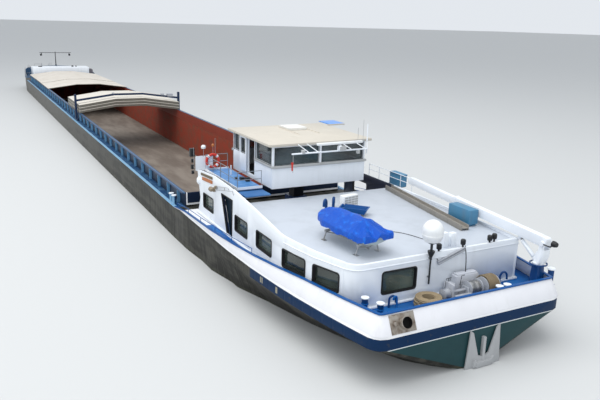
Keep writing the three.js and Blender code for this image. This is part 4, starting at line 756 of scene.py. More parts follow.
def platform_paint():
    """Blue floor, white rim, and grey rails above it."""
    paint = Finish("platform_paint", (0.06, 0.2, 0.48), 0.45)
    floor = paint.mix(paint.noise(30, 4).ramp(0.4, 0.7), (0.05, 0.19, 0.46), (0.12, 0.29, 0.56))
    rim = paint.y.over(PLATFORM_RIM) + paint.x.under(PLATFORM_X[0]) + paint.x.over(PLATFORM_X[1])
    colour = paint.mix(rim.over(0.5), floor, (0.8, 0.83, 0.87))
    colour = paint.mix(paint.z.under(PLATFORM_FLOOR[0]), colour, (0.05, 0.12, 0.26))
    paint.set("Base Color", paint.mix(paint.z.over(PLATFORM_FLOOR[1]), colour, (0.2, 0.22, 0.25)))
    paint.bump(paint.noise(160, 2), 0.0003)
    return paint


platform_finish = platform_paint()
PLAIN = {
    "hull_bottom": hull_paint,
    "hull_side_port": hull_paint,
    "hull_side_starboard": hull_paint,
    "coaming_port": coaming_finish,
    "coaming_starboard": coaming_finish,
    "house_wall_fore": well_navy_and_shade,
    "house_glass": house_pane,
    "tower_glass": house_pane,
    "wheelhouse_glass": bridge_pane,
    "wheelhouse_floor": black_plastic,
    "hatch_covers_closed": cover_cream,
    "side_platform": platform_finish,
}
for node, finish in PLAIN.items():
    dress(node, finish)

# Finish, bevel in metres, nodes, and for some the angle above which an edge is sharp
TWINS = [
    (hull_paint, 0.0015, "hull_stern hull_bow", 24),
    (blue_deck, 0.0005, "aft_deck"),
    (warm_white, 0.0005, "bulwark_aft"),
    (cap_blue, 0.0012, "cap_rail_aft"),
    (bulwark_blue, 0.0005, "bulwark_bow"),
    (house_white, 0.001, "house_wall_aft house_wall_port house_wall_starboard"),
    (roof_white, 0.0008, "house_roof"),
    (door_blue, 0.0006, "house_door"),
    (white_enamel, 0.001, "wheelhouse_walls crane_column crane_boom crane_extension"),
    (white_enamel, 0.0008, "wheelhouse_door"),
    (white_enamel, 0.0005, "crane_cylinder"),
    (white_enamel, 0.0003, "radar_yard"),
    (white_enamel, 0.0002, "side_railing"),
    (white_enamel, 0.003, "bow_house"),
    (roof_cream, 0.002, "wheelhouse_roof"),
    (hatch_white, 0.001, "wheelhouse_roof_hatch"),
    (crane_blue, 0.001, "lift_guide crane_base"),
    (board_blue, 0.0006, "signal_board"),
    (gel_coat, 0.002, "radar_scanner"),
    (gel_coat, 0.001, "cooling_unit"),
    (stainless, 0.0003, "crane_piston_rod"),
    (zinc_steel, 0.0003, "dinghy_cradle"),
    (anchor_grey, 0.0008, "stern_anchor"),
    (machine_grey, 0.0006, "stern_winch windlass"),
    (machine_grey, 0.0005, "stern_winch_drum windlass_drum"),
    (exhaust_steel, 0.0005, "exhaust_outlet"),
    (stack_shade_taupe, 0.001, "hatch_stack"),
    (beam_blue, 0.0008, "gantry_frame"),
    (mast_grey, 0.0003, "bow_mast"),
    (locker_teal, 0.001, "deck_locker"),
    (plank_metal, 0.0004, "gangplank"),
    (bronze, 0.0006, "propeller"),
    (hull_paint, 0.0008, "propeller_nozzle"),
    (hull_paint, 0.0005, "rudder_port rudder_starboard"),
]
OTHER_SLOTS = {"lift_guide": "galvanized", "bow_mast": "galvanized", "cooling_unit": "white_paint"}
twins = []
for finish, bevel, nodes, *angle in TWINS:
    twins += [twin(node, finish, bevel, *angle, slot=OTHER_SLOTS.get(node)) for node in nodes.split()]
print(len(twins), "twins,", sum(len(t.data.polygons) for t in twins), "faces")

# %% [markdown]
# ## Pipes, rails and ropes from Geometry Nodes
# Handrails, window rubbers, air pipes and the turns of a rope on its drum are all the same thing: a round
# section along a path. The path is a mesh of plain edges, and the tree turns it into curves, sweeps a
# circle along them and closes the ends. Its inputs are the radius, the number of sides and the material.


# %% How a tree starts, ends and is used
def new_tree(name, **inputs):
    """A tree with named inputs, its input node, and the identifier of each input."""
    tree = bpy.data.node_groups.new(name, "GeometryNodeTree")
    tree.interface.new_socket("Geometry", in_out="OUTPUT", socket_type="NodeSocketGeometry")
    sockets = {}
    for label, kind in inputs.items():
        socket = tree.interface.new_socket(label, in_out="INPUT", socket_type="NodeSocket" + kind)
        sockets[label] = socket.identifier
    return tree, tree.nodes.new("NodeGroupInput").outputs, sockets


def end_tree(tree, start, geometry):
    """Instances become real, because an export drops them, and take the material."""
    real = tree.nodes.new("GeometryNodeRealizeInstances")
    coat = tree.nodes.new("GeometryNodeSetMaterial")
    tree.links.new(geometry, real.inputs[0])
    tree.links.new(real.outputs[0], coat.inputs["Geometry"])
    tree.links.new(start["material"], coat.inputs["Material"])
    tree.links.new(coat.outputs[0], tree.nodes.new("NodeGroupOutput").inputs[0])


def through(recipe, name, mesh, **values):
    """A mesh taken through a tree, with the tree's inputs set by their identifiers."""
    obj = new_object(name, mesh)
    modifier = obj.modifiers.new("tree", "NODES")
    modifier.node_group, sockets = recipe
    for label, value in values.items():
        modifier[sockets[label]] = value
    return baked(obj, name)


# %% The sweep tree
def sweep_tree():
    inputs = {"path": "Geometry", "radius": "Float", "sides": "Int", "material": "Material"}
    tree, start, sockets = new_tree("sweep_along_edges", **inputs)
    add, link = tree.nodes.new, tree.links.new
    curve, circle = add("GeometryNodeMeshToCurve"), add("GeometryNodeCurvePrimitiveCircle")
    tube = add("GeometryNodeCurveToMesh")
    tube.inputs["Fill Caps"].default_value = True
    link(start["path"], curve.inputs["Mesh"])
    link(start["radius"], circle.inputs["Radius"])
    link(start["sides"], circle.inputs["Resolution"])
    link(curve.outputs[0], tube.inputs["Curve"])
    link(circle.outputs["Curve"], tube.inputs["Profile Curve"])
    end_tree(tree, start, tube.outputs[0])
    return tree, sockets


SWEEP = sweep_tree()


def swept(name, chains, radius, finish, sides=8, closed=False, body="barge", slot=None):
    """Round bars along chains of points, as one piece."""
    points, edges = [], []
    for chain in chains:
        first = len(points)
        points += [tuple(p) for p in chain]
        edges += [(i, i + 1) for i in range(first, len(points) - 1)]
        if closed:
            edges.append((len(points) - 1, first))
    mesh = bpy.data.meshes.new(name)
    mesh.from_pydata(points, edges, [])
    obj = through(SWEEP, name, mesh, radius=radius, sides=sides, material=finish.material)
    return finish_piece(obj, finish, 50, body, slot)


def bars(name, chains, radius, finish, **options):
    """Bars whose points are places on the vessel."""
    return swept(name, [[spot(*p) for p in chain] for chain in chains], radius, finish, **options)


# %% [markdown]
# The other thing that repeats is a small solid: a blind's slat, a lamp, a post's cap. A second tree sets a
# copy of one mesh on each point of a list, turned and sized by attributes of the points.


# %% The copies tree
def copies_tree():
    inputs = {"points": "Geometry", "stamp": "Object", "material": "Material"}
    tree, start, sockets = new_tree("copies_on_points", **inputs)
    add, link = tree.nodes.new, tree.links.new
    info, place = add("GeometryNodeObjectInfo"), add("GeometryNodeInstanceOnPoints")
    link(start["points"], place.inputs["Points"])
    link(start["stamp"], info.inputs["Object"])
    link(info.outputs["Geometry"], place.inputs["Instance"])
    for label, socket in (("turn", "Rotation"), ("size", "Scale")):
        attribute = add("GeometryNodeInputNamedAttribute")
        attribute.data_type = "FLOAT_VECTOR"
        attribute.inputs["Name"].default_value = label
        link(attribute.outputs[0], place.inputs[socket])
    end_tree(tree, start, place.outputs[0])
    return tree, sockets


COPIES = copies_tree()


def stamp(name, make, offset, sharp_edge):
    """A solid one metre across with its sharp edges cut, for the copies tree to scale."""
    shape = bmesh.new()
    make(shape)
    edges = [e for e in shape.edges if e.calc_face_angle(0) > sharp_edge]
    bmesh.ops.bevel(shape, geom=edges, offset=offset, segments=1, affect="EDGES")
    return from_bmesh("stamp_" + name, shape)


def twelve_sided(shape):
    bmesh.ops.create_cone(shape, cap_ends=True, segments=12, radius1=0.5, radius2=0.5, depth=1.0)


STAMPS = {
    "box": stamp("box", lambda shape: bmesh.ops.create_cube(shape, size=1.0), 0.04, 0),
    "disc": stamp("disc", twelve_sided, 0.06, 1),
}


def copied(name, kind, rows, finish, body="barge", slot=None):
    """Copies of a stamp: each row is a place, a size and, for some, a turn in degrees."""
    mesh = bpy.data.meshes.new(name)
    mesh.from_pydata([tuple(row[0]) for row in rows], [], [])
    size = mesh.attributes.new("size", "FLOAT_VECTOR", "POINT").data
    for item, row in zip(size, rows):
        item.vector = row[1]
    turn = mesh.attributes.new("turn", "FLOAT_VECTOR", "POINT").data
    for item, row in zip(turn, rows):
        item.vector = [math.radians(v) for v in row[2]] if len(row) > 2 else (0, 0, 0)
    obj = through(COPIES, name, mesh, stamp=STAMPS[kind], material=finish.material)
    return finish_piece(obj, finish, 35, body, slot)


def boxes(name, rows, finish, **options):
    """Boxes whose places are places on the vessel."""
    return copied(name, "box", [(spot(*at), *rest) for at, *rest in rows], finish, **options)


print("trees:", SWEEP[0].name, COPIES[0].name)

# %% [markdown]
# Turned things, such as a bollard, a lamp or a radome, come from a profile that is spun about an axis.

# %% Lathe
TURNS = {"Z": Matrix(), "Y": Matrix.Rotation(-math.pi / 2, 4, "X"), "X": Matrix.Rotation(math.pi / 2, 4, "Y")}


def spun(name, profile, centre, finish, steps=20, axis="Z", body="barge", slot=None):
    """A profile of (radius, height) spun about an axis through a centre."""
    shape = bmesh.new()
    rings = []
    for radius, height in profile:
        if radius == 0:
            rings.append([shape.verts.new((0, 0, height))])
            continue
        ring = []
        for k in range(steps):
            angle = 2 * math.pi * k / steps
            ring.append(shape.verts.new((radius * math.cos(angle), radius * math.sin(angle), height)))
        rings.append(ring)
    for low, high in zip(rings, rings[1:]):
        for k in range(steps):
            n = (k + 1) % steps
            corners = [low[k % len(low)], low[n % len(low)], high[n % len(high)], high[k % len(high)]]
            unique = list(dict.fromkeys(corners))
            if len(unique) > 2:
                shape.faces.new(unique)
    bmesh.ops.transform(shape, matrix=Matrix.Translation(centre) @ TURNS[axis], verts=shape.verts)
    return finish_piece(from_bmesh(name, shape), finish, 30, body, slot)


# %% [markdown]
# ## The house
# Its windows are set in black rubber. The rubber follows the wall, which bends near the stern, so each
# frame is a chain of points on the wall's own plan.

# %% The wall's plan
PORT_PLAN = [(2.56, 4.25), (4.0, 4.7), (5.2, 4.9), (6.0, 5.0), (16.55, 5.0)]
STARBOARD_PLAN = [(2.1, 3.94), (4.49, 4.22), (11.5, 4.46), (16.55, 4.46)]
SIDE_WINDOWS = [(14.12, 15.62), (9.7, 11.2), (7.12, 8.7), (4.52, 6.1), (2.76, 4.05)]
WINDOW_Z = (2.62, 3.38)
AFT_WALL = 2.1
AFT_WINDOW = (1.28, 2.85, 2.56, 3.44)


def rounded(u0, u1, v0, v1, radius=0.1, steps=4):
    """A rectangle with round corners, as points."""
    corners = [(u1 - radius, v0 + radius, -90), (u1 - radius, v1 - radius, 0)]
    corners += [(u0 + radius, v1 - radius, 90), (u0 + radius, v0 + radius, 180)]
    points = []
    for u, v, start in corners:
        for i in range(steps + 1):
            angle = math.radians(start + 90 * i / steps)
            points.append((u + radius * math.cos(angle), v + radius * math.sin(angle)))
    return points


def wall_y(side, s):
    """The wall's distance from the middle, to port or to starboard."""
    return side * between(PORT_PLAN if side > 0 else STARBOARD_PLAN, s)


def side_frame(window, side, out=0.0, grow=0.0):
    low, high = window[0] - grow, window[1] + grow
    loop = rounded(low, high, WINDOW_Z[0] - grow, WINDOW_Z[1] + grow, 0.1 + grow)
    return [spot(u, wall_y(side, u) + side * out, v) for u, v in loop]


def aft_frame(out=0.0, grow=0.0):
    y0, y1, z0, z1 = AFT_WINDOW
    loop = rounded(y0 - grow, y1 + grow, z0 - grow, z1 + grow, 0.1 + grow)
    return [spot(AFT_WALL - out, u, v) for u, v in loop]


SIDE_PAIRS = [(window, side) for side in (1, -1) for window in SIDE_WINDOWS]
rubber = [side_frame(*pair, 0.004, 0.01) for pair in SIDE_PAIRS] + [aft_frame(0.004, 0.01)]
swept("window_rubbers", rubber, 0.0022, black_rubber, closed=True)


# %% The bands that line the openings
def band(shape, loops):
    """A closed ring from four loops of points: outer face, front, inner face, back."""
    rings = [[shape.verts.new(p) for p in loop] for loop in loops]
    for k in range(4):
        a, b = rings[k], rings[(k + 1) % 4]
        for i in range(len(a)):
            n = (i + 1) % len(a)
            shape.faces.new((a[i], a[n], b[n], b[i]))


def window_gaskets():
    """Rubber lines each opening from the wall's face to the pane, so no white edge of plate shows."""
    shape = bmesh.new()
    section = ((0.02, 0.003), (0.02, -0.03), (-0.11, -0.03), (-0.11, 0.003))
    for pair in SIDE_PAIRS:
        band(shape, [side_frame(*pair, out, grow) for out, grow in section])
    band(shape, [aft_frame(out, grow) for out, grow in section])
    finish_piece(from_bmesh("window_gaskets", shape), black_rubber, 40)


window_gaskets()


# %% [markdown]
# Vertical blinds are drawn to one side behind the side windows. Their slats are copies of one box.


# %% Blinds behind the panes
def blinds():
    """Vertical slats, half turned, that hang behind the aft part of each pane."""
    rows = []
    height = (WINDOW_Z[1] - WINDOW_Z[0] + 0.1) * SCALE
    middle = sum(WINDOW_Z) / 2
    for side in (1, -1):
        for low, high in SIDE_WINDOWS[1:]:
            for i in range(7):
                at = low + (high - low) * (i + 0.4) / 16
                place = (at, wall_y(side, at) - side * 0.26, middle)
                rows.append((place, (0.0085, 0.0012, height), (0, 0, 35 * side)))
    for i in range(5):
        rows.append(((AFT_WALL + 0.24, 2.75 - i * 0.09, middle), (0.0012, 0.0085, height), (0, 0, 30)))
    boxes("window_blinds", rows, blind_fabric)


blinds()

# %% [markdown]
# A weld bead runs round the roof's edge and along the foot of the walls. It is a small thing, but it draws
# the line that separates wall from roof in the photograph.


# %% Beads on the walls
def wall_line(height, out):
    port = [spot(s, y + out, height) for s, y in reversed(PORT_PLAN)]
    corner = [spot(s - out, y + out * 0.5, height) for s, y in ((2.32, 4.12), (2.16, 3.92), (2.1, 3.66))]
    starboard = [spot(2.1 - out, -3.94 - out, height)]
    starboard += [spot(s, -y - out, height) for s, y in STARBOARD_PLAN[1:]]
    return port + corner + starboard


swept("foot_beads", [wall_line(2.13, 0.04)], 0.0062, white_enamel)
swept("roof_edge_beads", [wall_line(3.66, 0.012)[1:]], 0.0022, white_enamel)

# %% [markdown]
# ## Railings
# A low rail stands on the cap of the aft bulwark, on a post at each point of its run.

# %% Rail on the aft bulwark
RAIL_HEIGHT = Vector((0, 0, 0.2 * SCALE))
RAIL_RUN = [(18.2, 5.66), (16.2, 5.66), (14.2, 5.66), (12.2, 5.63), (10.2, 5.56), (8.2, 5.43)]
CAP_TOPS = [(0, 2.8), (4.22, 2.76), (7.85, 2.56), (14.0, 2.28), (16.6, 2.18), (18.5, 1.96)]
for side, label in ((1, "port"), (-1, "starboard")):
    run = [spot(s, side * y, between(CAP_TOPS, s)) for s, y in RAIL_RUN]
    chains = [[p + RAIL_HEIGHT for p in run]] + [[p, p + RAIL_HEIGHT] for p in run]
    swept(f"bulwark_rail_{label}", chains, 0.0016, cap_blue)

# %% [markdown]
# ## Small fittings on the port screen
# Two blank boards, a searchlight on a bracket, a lamp post, a lifebuoy and the wind plate of the platform
# stand close together by the side door. Most are boxes and bars, each list a table of place and size.

# %% Boards and door frame
BOARD_TURN = (0, 4.3, 0)
boxes("screen_board_upper", [((15.05, 5.02, 4.41), (0.172, 0.003, 0.013), BOARD_TURN)], sign_brown)
boxes("screen_board", [((14.95, 5.025, 4.2), (0.15, 0.004, 0.0165), BOARD_TURN)], sign_orange)
DOOR_EDGE = [(s, 5.0, z) for s, z in ((11.58, 2.14), (12.18, 2.14), (12.92, 3.99), (11.5, 3.99))]
bars("side_door_frame", [DOOR_EDGE], 0.0042, black_rubber, closed=True)


# %% Searchlight, its rails, and the lamp post
def screen_gear():
    lamp_body = [(0, -0.014), (0.007, -0.014), (0.0125, 0.0), (0.0125, 0.012), (0.0105, 0.014), (0, 0.014)]
    spun("screen_searchlight", lamp_body, spot(13.85, 5.2, 4.0), lamp_bronze, axis="X")
    rows = [((13.85, 5.06, 3.98), (0.012, 0.014, 0.022)), ((13.6, 5.06, 4.15), (0.014, 0.012, 0.014))]
    boxes("screen_brackets", rows, lamp_bronze)
    rails = [
        [(13.6, 5.05, 4.2), (11.97, 5.05, 4.5), (11.9, 5.0, 4.4)],
        [(13.5, 5.06, 4.04), (11.3, 5.08, 4.5), (11.3, 5.02, 4.3)],
        [(13.5, 5.06, 4.04), (13.5, 5.05, 4.2)],
        [(12.4, 5.07, 4.27), (12.4, 5.05, 4.42)],
    ]
    bars("screen_rails", rails, 0.0014, zinc_steel)
    posts = [
        [(17.34, 4.93, 4.15), (17.34, 4.93, 5.5)],
        [(17.34, 4.93, 4.4), (17.28, 4.88, 4.4)],
        [(17.25, 4.4, 4.95), (17.25, 4.4, 5.42)],
        [(17.25, 3.85, 4.9), (17.25, 3.85, 5.5)],
        [(17.25, 3.72, 4.9), (17.25, 3.72, 5.95)],
    ]
    bars("lamp_posts", posts, 0.0012, zinc_steel)


# %% Lamps on the posts
def post_lamps():
    rows = [
        ((17.5, 4.98, 5.2), (0.022, 0.026, 0.045)),
        ((17.42, 4.98, 4.75), (0.012, 0.014, 0.02)),
        ((17.44, 4.98, 4.4), (0.014, 0.016, 0.024)),
        ((17.42, 4.97, 4.1), (0.012, 0.014, 0.018)),
    ]
    boxes("lamp_boxes", rows, black_plastic)
    bulb = [(0, 0), (0.011, 0), (0.0135, 0.006), (0.0125, 0.014), (0.007, 0.019), (0, 0.02)]
    spun("white_mast_lamp", bulb, spot(17.25, 4.4, 5.42), gel_coat)
    small = [(r * 0.6, h * 0.8) for r, h in bulb]
    spun("orange_mast_lamp", small, spot(17.25, 3.85, 5.5), sign_orange, 16)
    knob = [(0, -0.02), (0.014, -0.02), (0.021, -0.008), (0.021, 0.008), (0.014, 0.02), (0, 0.02)]
    spun("screen_knob", knob, spot(16.25, 4.93, 3.9), white_enamel, 24)


screen_gear()
post_lamps()

# %% Lifebuoy
BUOY_AT = spot(17.17, 3.9, 4.72)


def buoy_arc(start, end, steps, reach=0.035):
    angles = [math.radians(start + (end - start) * i / steps) for i in range(steps + 1)]
    return [BUOY_AT + Vector((0, reach * math.cos(a), reach * math.sin(a))) for a in angles]


swept("lifebuoy", [buoy_arc(0, 350, 35)], 0.0075, ring_red, 12, True)
bands = [buoy_arc(k * 90 + 35, k * 90 + 55, 4) for k in range(4)]
swept("lifebuoy_bands", bands, 0.0079, gel_coat, 12)

# %% Wind plate, landing step and the machine on the platform
boxes("wind_plate", [((17.26, 4.36, 4.6), (0.003, 0.1, 0.082))], white_enamel)
boxes("landing_step", [((12.08, 3.62, 4.065), (0.104, 0.135, 0.005))], platform_step)
MACHINE = [
    ((14.4, 3.3, 4.28), (0.03, 0.02, 0.014)),
    ((14.0, 3.16, 4.31), (0.018, 0.022, 0.02)),
    ((14.7, 3.5, 4.25), (0.02, 0.012, 0.008)),
]
boxes("platform_machine", MACHINE, black_plastic)
bars("platform_post", [[(15.7, 3.4, 4.21), (15.7, 3.4, 4.72)]], 0.0036, white_enamel)

# %% [markdown]
# ## Deck gear at the stern
# The bollards have white heads so that crews see them in the dark. The winch carries a drum of tan rope,
# and a long rope lies coiled beside it.


# %% Bollard heads
NECK = 0.0235
CAP = (0.031, 0.031, 0.0042)


def bollard_heads():
    """Each pair's middle, spacing, turn, the height of its caps and how far the head stands above them."""
    pairs = [(1.44, 3.68, 0.68, 20, 0.4303, 0.019), (0.64, -1.82, 0.4, 90, 0.4303, 0.013)]
    for side in (1, -1):
        pairs += [(106.4, side * 4.1, 0.52, 0, 0.4403, 0.002), (19.6, side * 5.5, 0.52, 0, 0.407, 0.002)]
    heads, necks = [], []
    for s, y, spacing, turn, top, rise in pairs:
        turn = math.radians(turn)
        for reach in (-spacing / 2, spacing / 2):
            foot = spot(s + reach * math.cos(turn), y + reach * math.sin(turn), 0)
            necks.append(((foot.x, foot.y, top + rise / 2 - 0.002), (NECK, NECK, rise + 0.004)))
            heads.append(((foot.x, foot.y, top + rise + 0.0018), CAP))
    copied("bollard_necks", "disc", necks, crane_blue)
    copied("bollard_heads", "disc", heads, white_enamel)


bollard_heads()
quarter = spot(0.98, -4.78, 0)
quarter.z = 0.3836
post = [(0, 0), (0.02, 0), (0.02, 0.003), (0.0125, 0.005), (0.0125, 0.068), (0, 0.068)]
spun("quarter_bollard", post, quarter, crane_blue, 24)
cap = [(0, 0.0683), (0.0165, 0.0683), (0.0165, 0.072), (0.0145, 0.0745), (0, 0.0745)]
spun("quarter_bollard_cap", cap, quarter, white_enamel, 24)

# %% The turns on the winch drum
DRUM_CENTRE = spot(1.28, -0.6, 0)
DRUM_CENTRE.z = 0.4266
DRUM_LAYERS = 2
DRUM_STEPS = 20


def drum_turns(name, low, high, radius, rope, finish):
    """A rope wound in level turns round the transverse axle, each layer back over the last."""
    chain = []
    steps = int((high - low) / (2.05 * rope)) * DRUM_STEPS
    for layer in range(DRUM_LAYERS):
        reach = radius + rope + layer * rope * 1.8
        for i in range(steps + 1):
            angle = 2 * math.pi * i / DRUM_STEPS
            run = 1 - i / steps if layer % 2 else i / steps
            y = low + rope + (high - low - 2 * rope) * run
            r = reach + 0.0006 * math.sin(7 * angle + layer)
            chain.append(DRUM_CENTRE + Vector((r * math.cos(angle), y, r * math.sin(angle))))
    return swept(name, [chain], rope, finish, 6, body="stern_winch_drum", slot="rope")


drum_turns("drum_rope", -0.1325, -0.0765, 0.0325, 0.0028, tan_rope)
drum_turns("drum_wire", -0.0495, 0.0015, 0.0218, 0.0016, dull_zinc)

# %% The winch's casing and levers
CASING = [
    ((1.84, -0.93, 2.5), (0.034, 0.112, 0.082)),
    ((1.84, -0.93, 2.93), (0.026, 0.1, 0.006)),
    ((1.86, -0.2, 2.36), (0.03, 0.034, 0.05)),
    ((1.4, 0.2, 2.5), (0.05, 0.008, 0.07)),
]
boxes("winch_casing", CASING, casing_grey)
levers = [[(1.55, y, 2.6), (1.5, y, 3.0), (1.42, y - 0.08, 3.05)] for y in (0.2, 0.3, -0.45)]
bars("winch_levers", levers, 0.0012, mast_grey, sides=6)

# %% [markdown]
# The coiled rope is a free rope, so it is made to its true length: a spiral that winds in and out while it
# climbs, layer on layer. Its UV map runs along and round the rope for the lay of the strands.

# %% The coiled mooring rope
COIL_CENTRE = spot(1.32, 1.26, 0)
COIL_FLOOR = 0.3836
ROPE_RADIUS = 0.0025
COIL_RINGS = 6
COIL_LAYERS = 10
COIL_INNER = 0.0248
COIL_PITCH = 1.6728 * ROPE_RADIUS
COIL_RISE = 1.7372 * ROPE_RADIUS
POINTS_PER_TURN = 24


def coil_path():
    path = []
    for layer in range(COIL_LAYERS):
        for i in range(COIL_RINGS * POINTS_PER_TURN):
            run = i / POINTS_PER_TURN
            ring = run if layer % 2 == 0 else COIL_RINGS - run
            angle = 2 * math.pi * run + layer * 0.3
            reach = COIL_INNER + ring * COIL_PITCH
            reach += 0.0022 * math.sin(2 * angle + 1.9 * layer) * ring / COIL_RINGS
            path.append(COIL_CENTRE + Vector((reach * math.cos(angle), reach * math.sin(angle), 0)))
            path[-1].z = COIL_FLOOR + ROPE_RADIUS + 0.0003 + layer * COIL_RISE
    return path


def tube_mesh(name, path, radius, sides=8):
    """A closed tube along points, with a UV map of metres along it and turns round it."""
    shape = bmesh.new()
    rings = []
    normal = Vector((0, 0, 1))
    for i, point in enumerate(path):
        ahead = path[min(i + 1, len(path) - 1)] - path[max(i - 1, 0)]
        ahead.normalize()
        normal = (normal - ahead * normal.dot(ahead)).normalized()
        side = ahead.cross(normal)
        ring = []
        for k in range(sides):
            angle = 2 * math.pi * k / sides
            ring.append(shape.verts.new(point + (normal * math.cos(angle) + side * math.sin(angle)) * radius))
        rings.append(ring)
    layer = shape.loops.layers.uv.new("run")
    travelled = 0.0
    for i in range(len(rings) - 1):
        step = (path[i + 1] - path[i]).length
        for k in range(sides):
            n = (k + 1) % sides
            face = shape.faces.new((rings[i][k], rings[i][n], rings[i + 1][n], rings[i + 1][k]))
            uvs = ((travelled, k), (travelled, k + 1), (travelled + step, k + 1), (travelled + step, k))
            for loop, (u, v) in zip(face.loops, uvs):
                loop[layer].uv = (u, v / sides)
        travelled += step
    shape.faces.new(rings[0])
    shape.faces.new(rings[-1])
    return from_bmesh(name, shape), travelled


coil_points = coil_path()
coil, coil_length = tube_mesh("coiled_mooring_rope", coil_points, ROPE_RADIUS)
finish_piece(coil, tan_rope, 60)
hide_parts("rope_coil")
print("mooring rope", round(coil_length, 2), "m")

# %% [markdown]
# ## The satellite dome
# A moulded radome is two shells that meet at a flange. A lathe profile spun round its axis gives it true
# curvature, which the coarse CAD solid has not.

# %% The radome
RADOME = 0.041


def dome():
    low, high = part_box("satellite_dome")
    centre = Vector(((low[0] + high[0]) / 2, (low[1] + high[1]) / 2, 0))
    pole_foot, shell_foot, top = low[2], high[2] - 0.085, high[2]
    profile = [(0, shell_foot), (0.027, shell_foot), (0.032, shell_foot + 0.003), (0.0397, shell_foot + 0.02)]
    profile += [(0.0408, shell_foot + 0.026), (0.0408, shell_foot + 0.029), (0.04, shell_foot + 0.03)]
    for i in range(12):
        angle = math.pi / 2 * i / 12
        profile.append((RADOME * math.cos(angle), top - RADOME + RADOME * math.sin(angle)))
    shell = spun("dome_shell", profile + [(0, top)], centre, gel_coat, 48)
    pole = [(0, pole_foot), (0.0035, pole_foot), (0.0035, pole_foot + 0.1), (0.005, pole_foot + 0.1)]
    pole += [(0.005, shell_foot - 0.012), (0.016, shell_foot - 0.006)]
    pole += [(0.016, shell_foot - 0.0003), (0, shell_foot - 0.0003)]
    spun("dome_pole", pole, centre, mast_grey, slot="galvanized")
    hood = [(0.0055, 0.552), (0.014, 0.572), (0.014, 0.577), (0.0055, 0.577)]
    spun("dome_pole_lamp", hood + hood[:1], centre, black_plastic)
    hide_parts("satellite_dome")
    return centre


dome_centre = dome()
bracket_x = (dome_centre.x + spot(AFT_WALL, 0, 0).x) / 2
brackets = [((bracket_x, dome_centre.y, z), (0.012, 0.006, 0.006)) for z in (0.47, 0.545)]
copied("dome_brackets", "box", brackets, dull_zinc)

# %% [markdown]
# ## Dinghy and tarpaulin
# The tarpaulin is a sheet that is drawn over the boat and tied down. It sags between the boat's frames and
# folds at the rail. A grid of points follows the boat's outline, and small waves make the folds.

# %% The boat's outline
BOAT_AT = spot(4.52, 2.88, 3.78) + Vector((0, 0, 0.0443))
BOAT_TURN = math.radians(6.5)
# Place along the boat, half-width at the rail, and height of the ridge
BOAT_RAIL = [(-0.182, 0.067), (-0.168, 0.07), (-0.09, 0.075), (0, 0.075), (0.09, 0.063)]
BOAT_RAIL += [(0.15, 0.038), (0.174, 0.02), (0.184, 0.008)]
BOAT_RIDGE = [(-0.182, 0.05), (-0.15, 0.064), (-0.1, 0.087), (0.06, 0.09), (0.13, 0.077), (0.184, 0.052)]
TENT_PEAK = -0.095
RAIL_Z = 0.043
# Where the rail lies across the sheet, and the ends of the cover along the boat
RAIL_U = 0.84
COVER_X = (-0.182, 0.184)


def on_boat(x, y, z):
    return BOAT_AT + Matrix.Rotation(BOAT_TURN, 3, "Z") @ Vector((x, y, z))


def tarp_point(x, u):
    """A point of the sheet: x along the boat, u from -1 at one hem to 1 at the other."""
    half = between(BOAT_RAIL, x) + 0.004
    ridge = between(BOAT_RIDGE, x)
    edge = abs(u)
    if edge > RAIL_U:
        hang = (edge - RAIL_U) / (1 - RAIL_U)
        y = half + hang * (0.0012 * math.sin(70 * x + 2 * u) + 0.0008 * math.sin(190 * x))
        z = RAIL_Z - hang * (0.022 + 0.003 * math.sin(60 * x + 3 * u) + 0.0012 * math.sin(150 * x))
    else:
        k = edge / RAIL_U
        y = half * k
        z = RAIL_Z + (ridge - RAIL_Z) * (1 - k**1.7)
        sag = 0.0042 * abs(math.sin(math.pi * (x + 0.1) / 0.085)) * math.sin(math.pi * k)
        z += 0.0016 * math.sin(95 * x + 7 * u) * math.sin(math.pi * k) - sag
    side = math.copysign(y, u) if u else 0.0
    return x, side, z + tent_folds(x, side)


def tent_folds(x, y):
    """Folds that fan out from the peak of the ridge to the transom, deepest in the middle."""
    back = TENT_PEAK - x
    if back <= 0:
        return 0.0
    reach = min(1.0, math.hypot(back, y) / 0.085)
    ray = math.atan2(y, back)
    fan = (1 - abs(math.sin(4.6 * ray + 0.3)) * 1.6) * 0.0052 * reach + 0.0012 * math.sin(31 * ray) * reach
    valley = 0.013 * math.exp(-((y - 0.012) / 0.017) ** 2) * min(1.0, back / 0.08)
    return fan - valley


def tarp_grid():
    """Rows of points across the boat, and at the stern a hem that hangs over the transom."""
    half = [i / 22 for i in range(19)] + [RAIL_U, 0.855, 0.88, 0.91, 0.94, 0.97, 1.0]
    across = [-u for u in reversed(half[1:])] + half
    steps = 84
    length = COVER_X[1] - COVER_X[0]
    rows = [[tarp_point(COVER_X[0] + length * i / steps, u) for u in across] for i in range(steps + 1)]
    hems = []
    for drop in (1.0, 0.75, 0.5, 0.25, 0.08):
        row = []
        for x, y, z in rows[0]:
            depth = 0.028 * drop * (1 - 0.75 * math.exp(-((y - 0.006) / 0.02) ** 2))
            low = min(z, RAIL_Z - 0.02)
            row.append((x - 0.003 * min(1, 4 * drop), y * (1 - 0.03 * drop), max(z - depth, low)))
        hems.append(row)
    return hems + rows


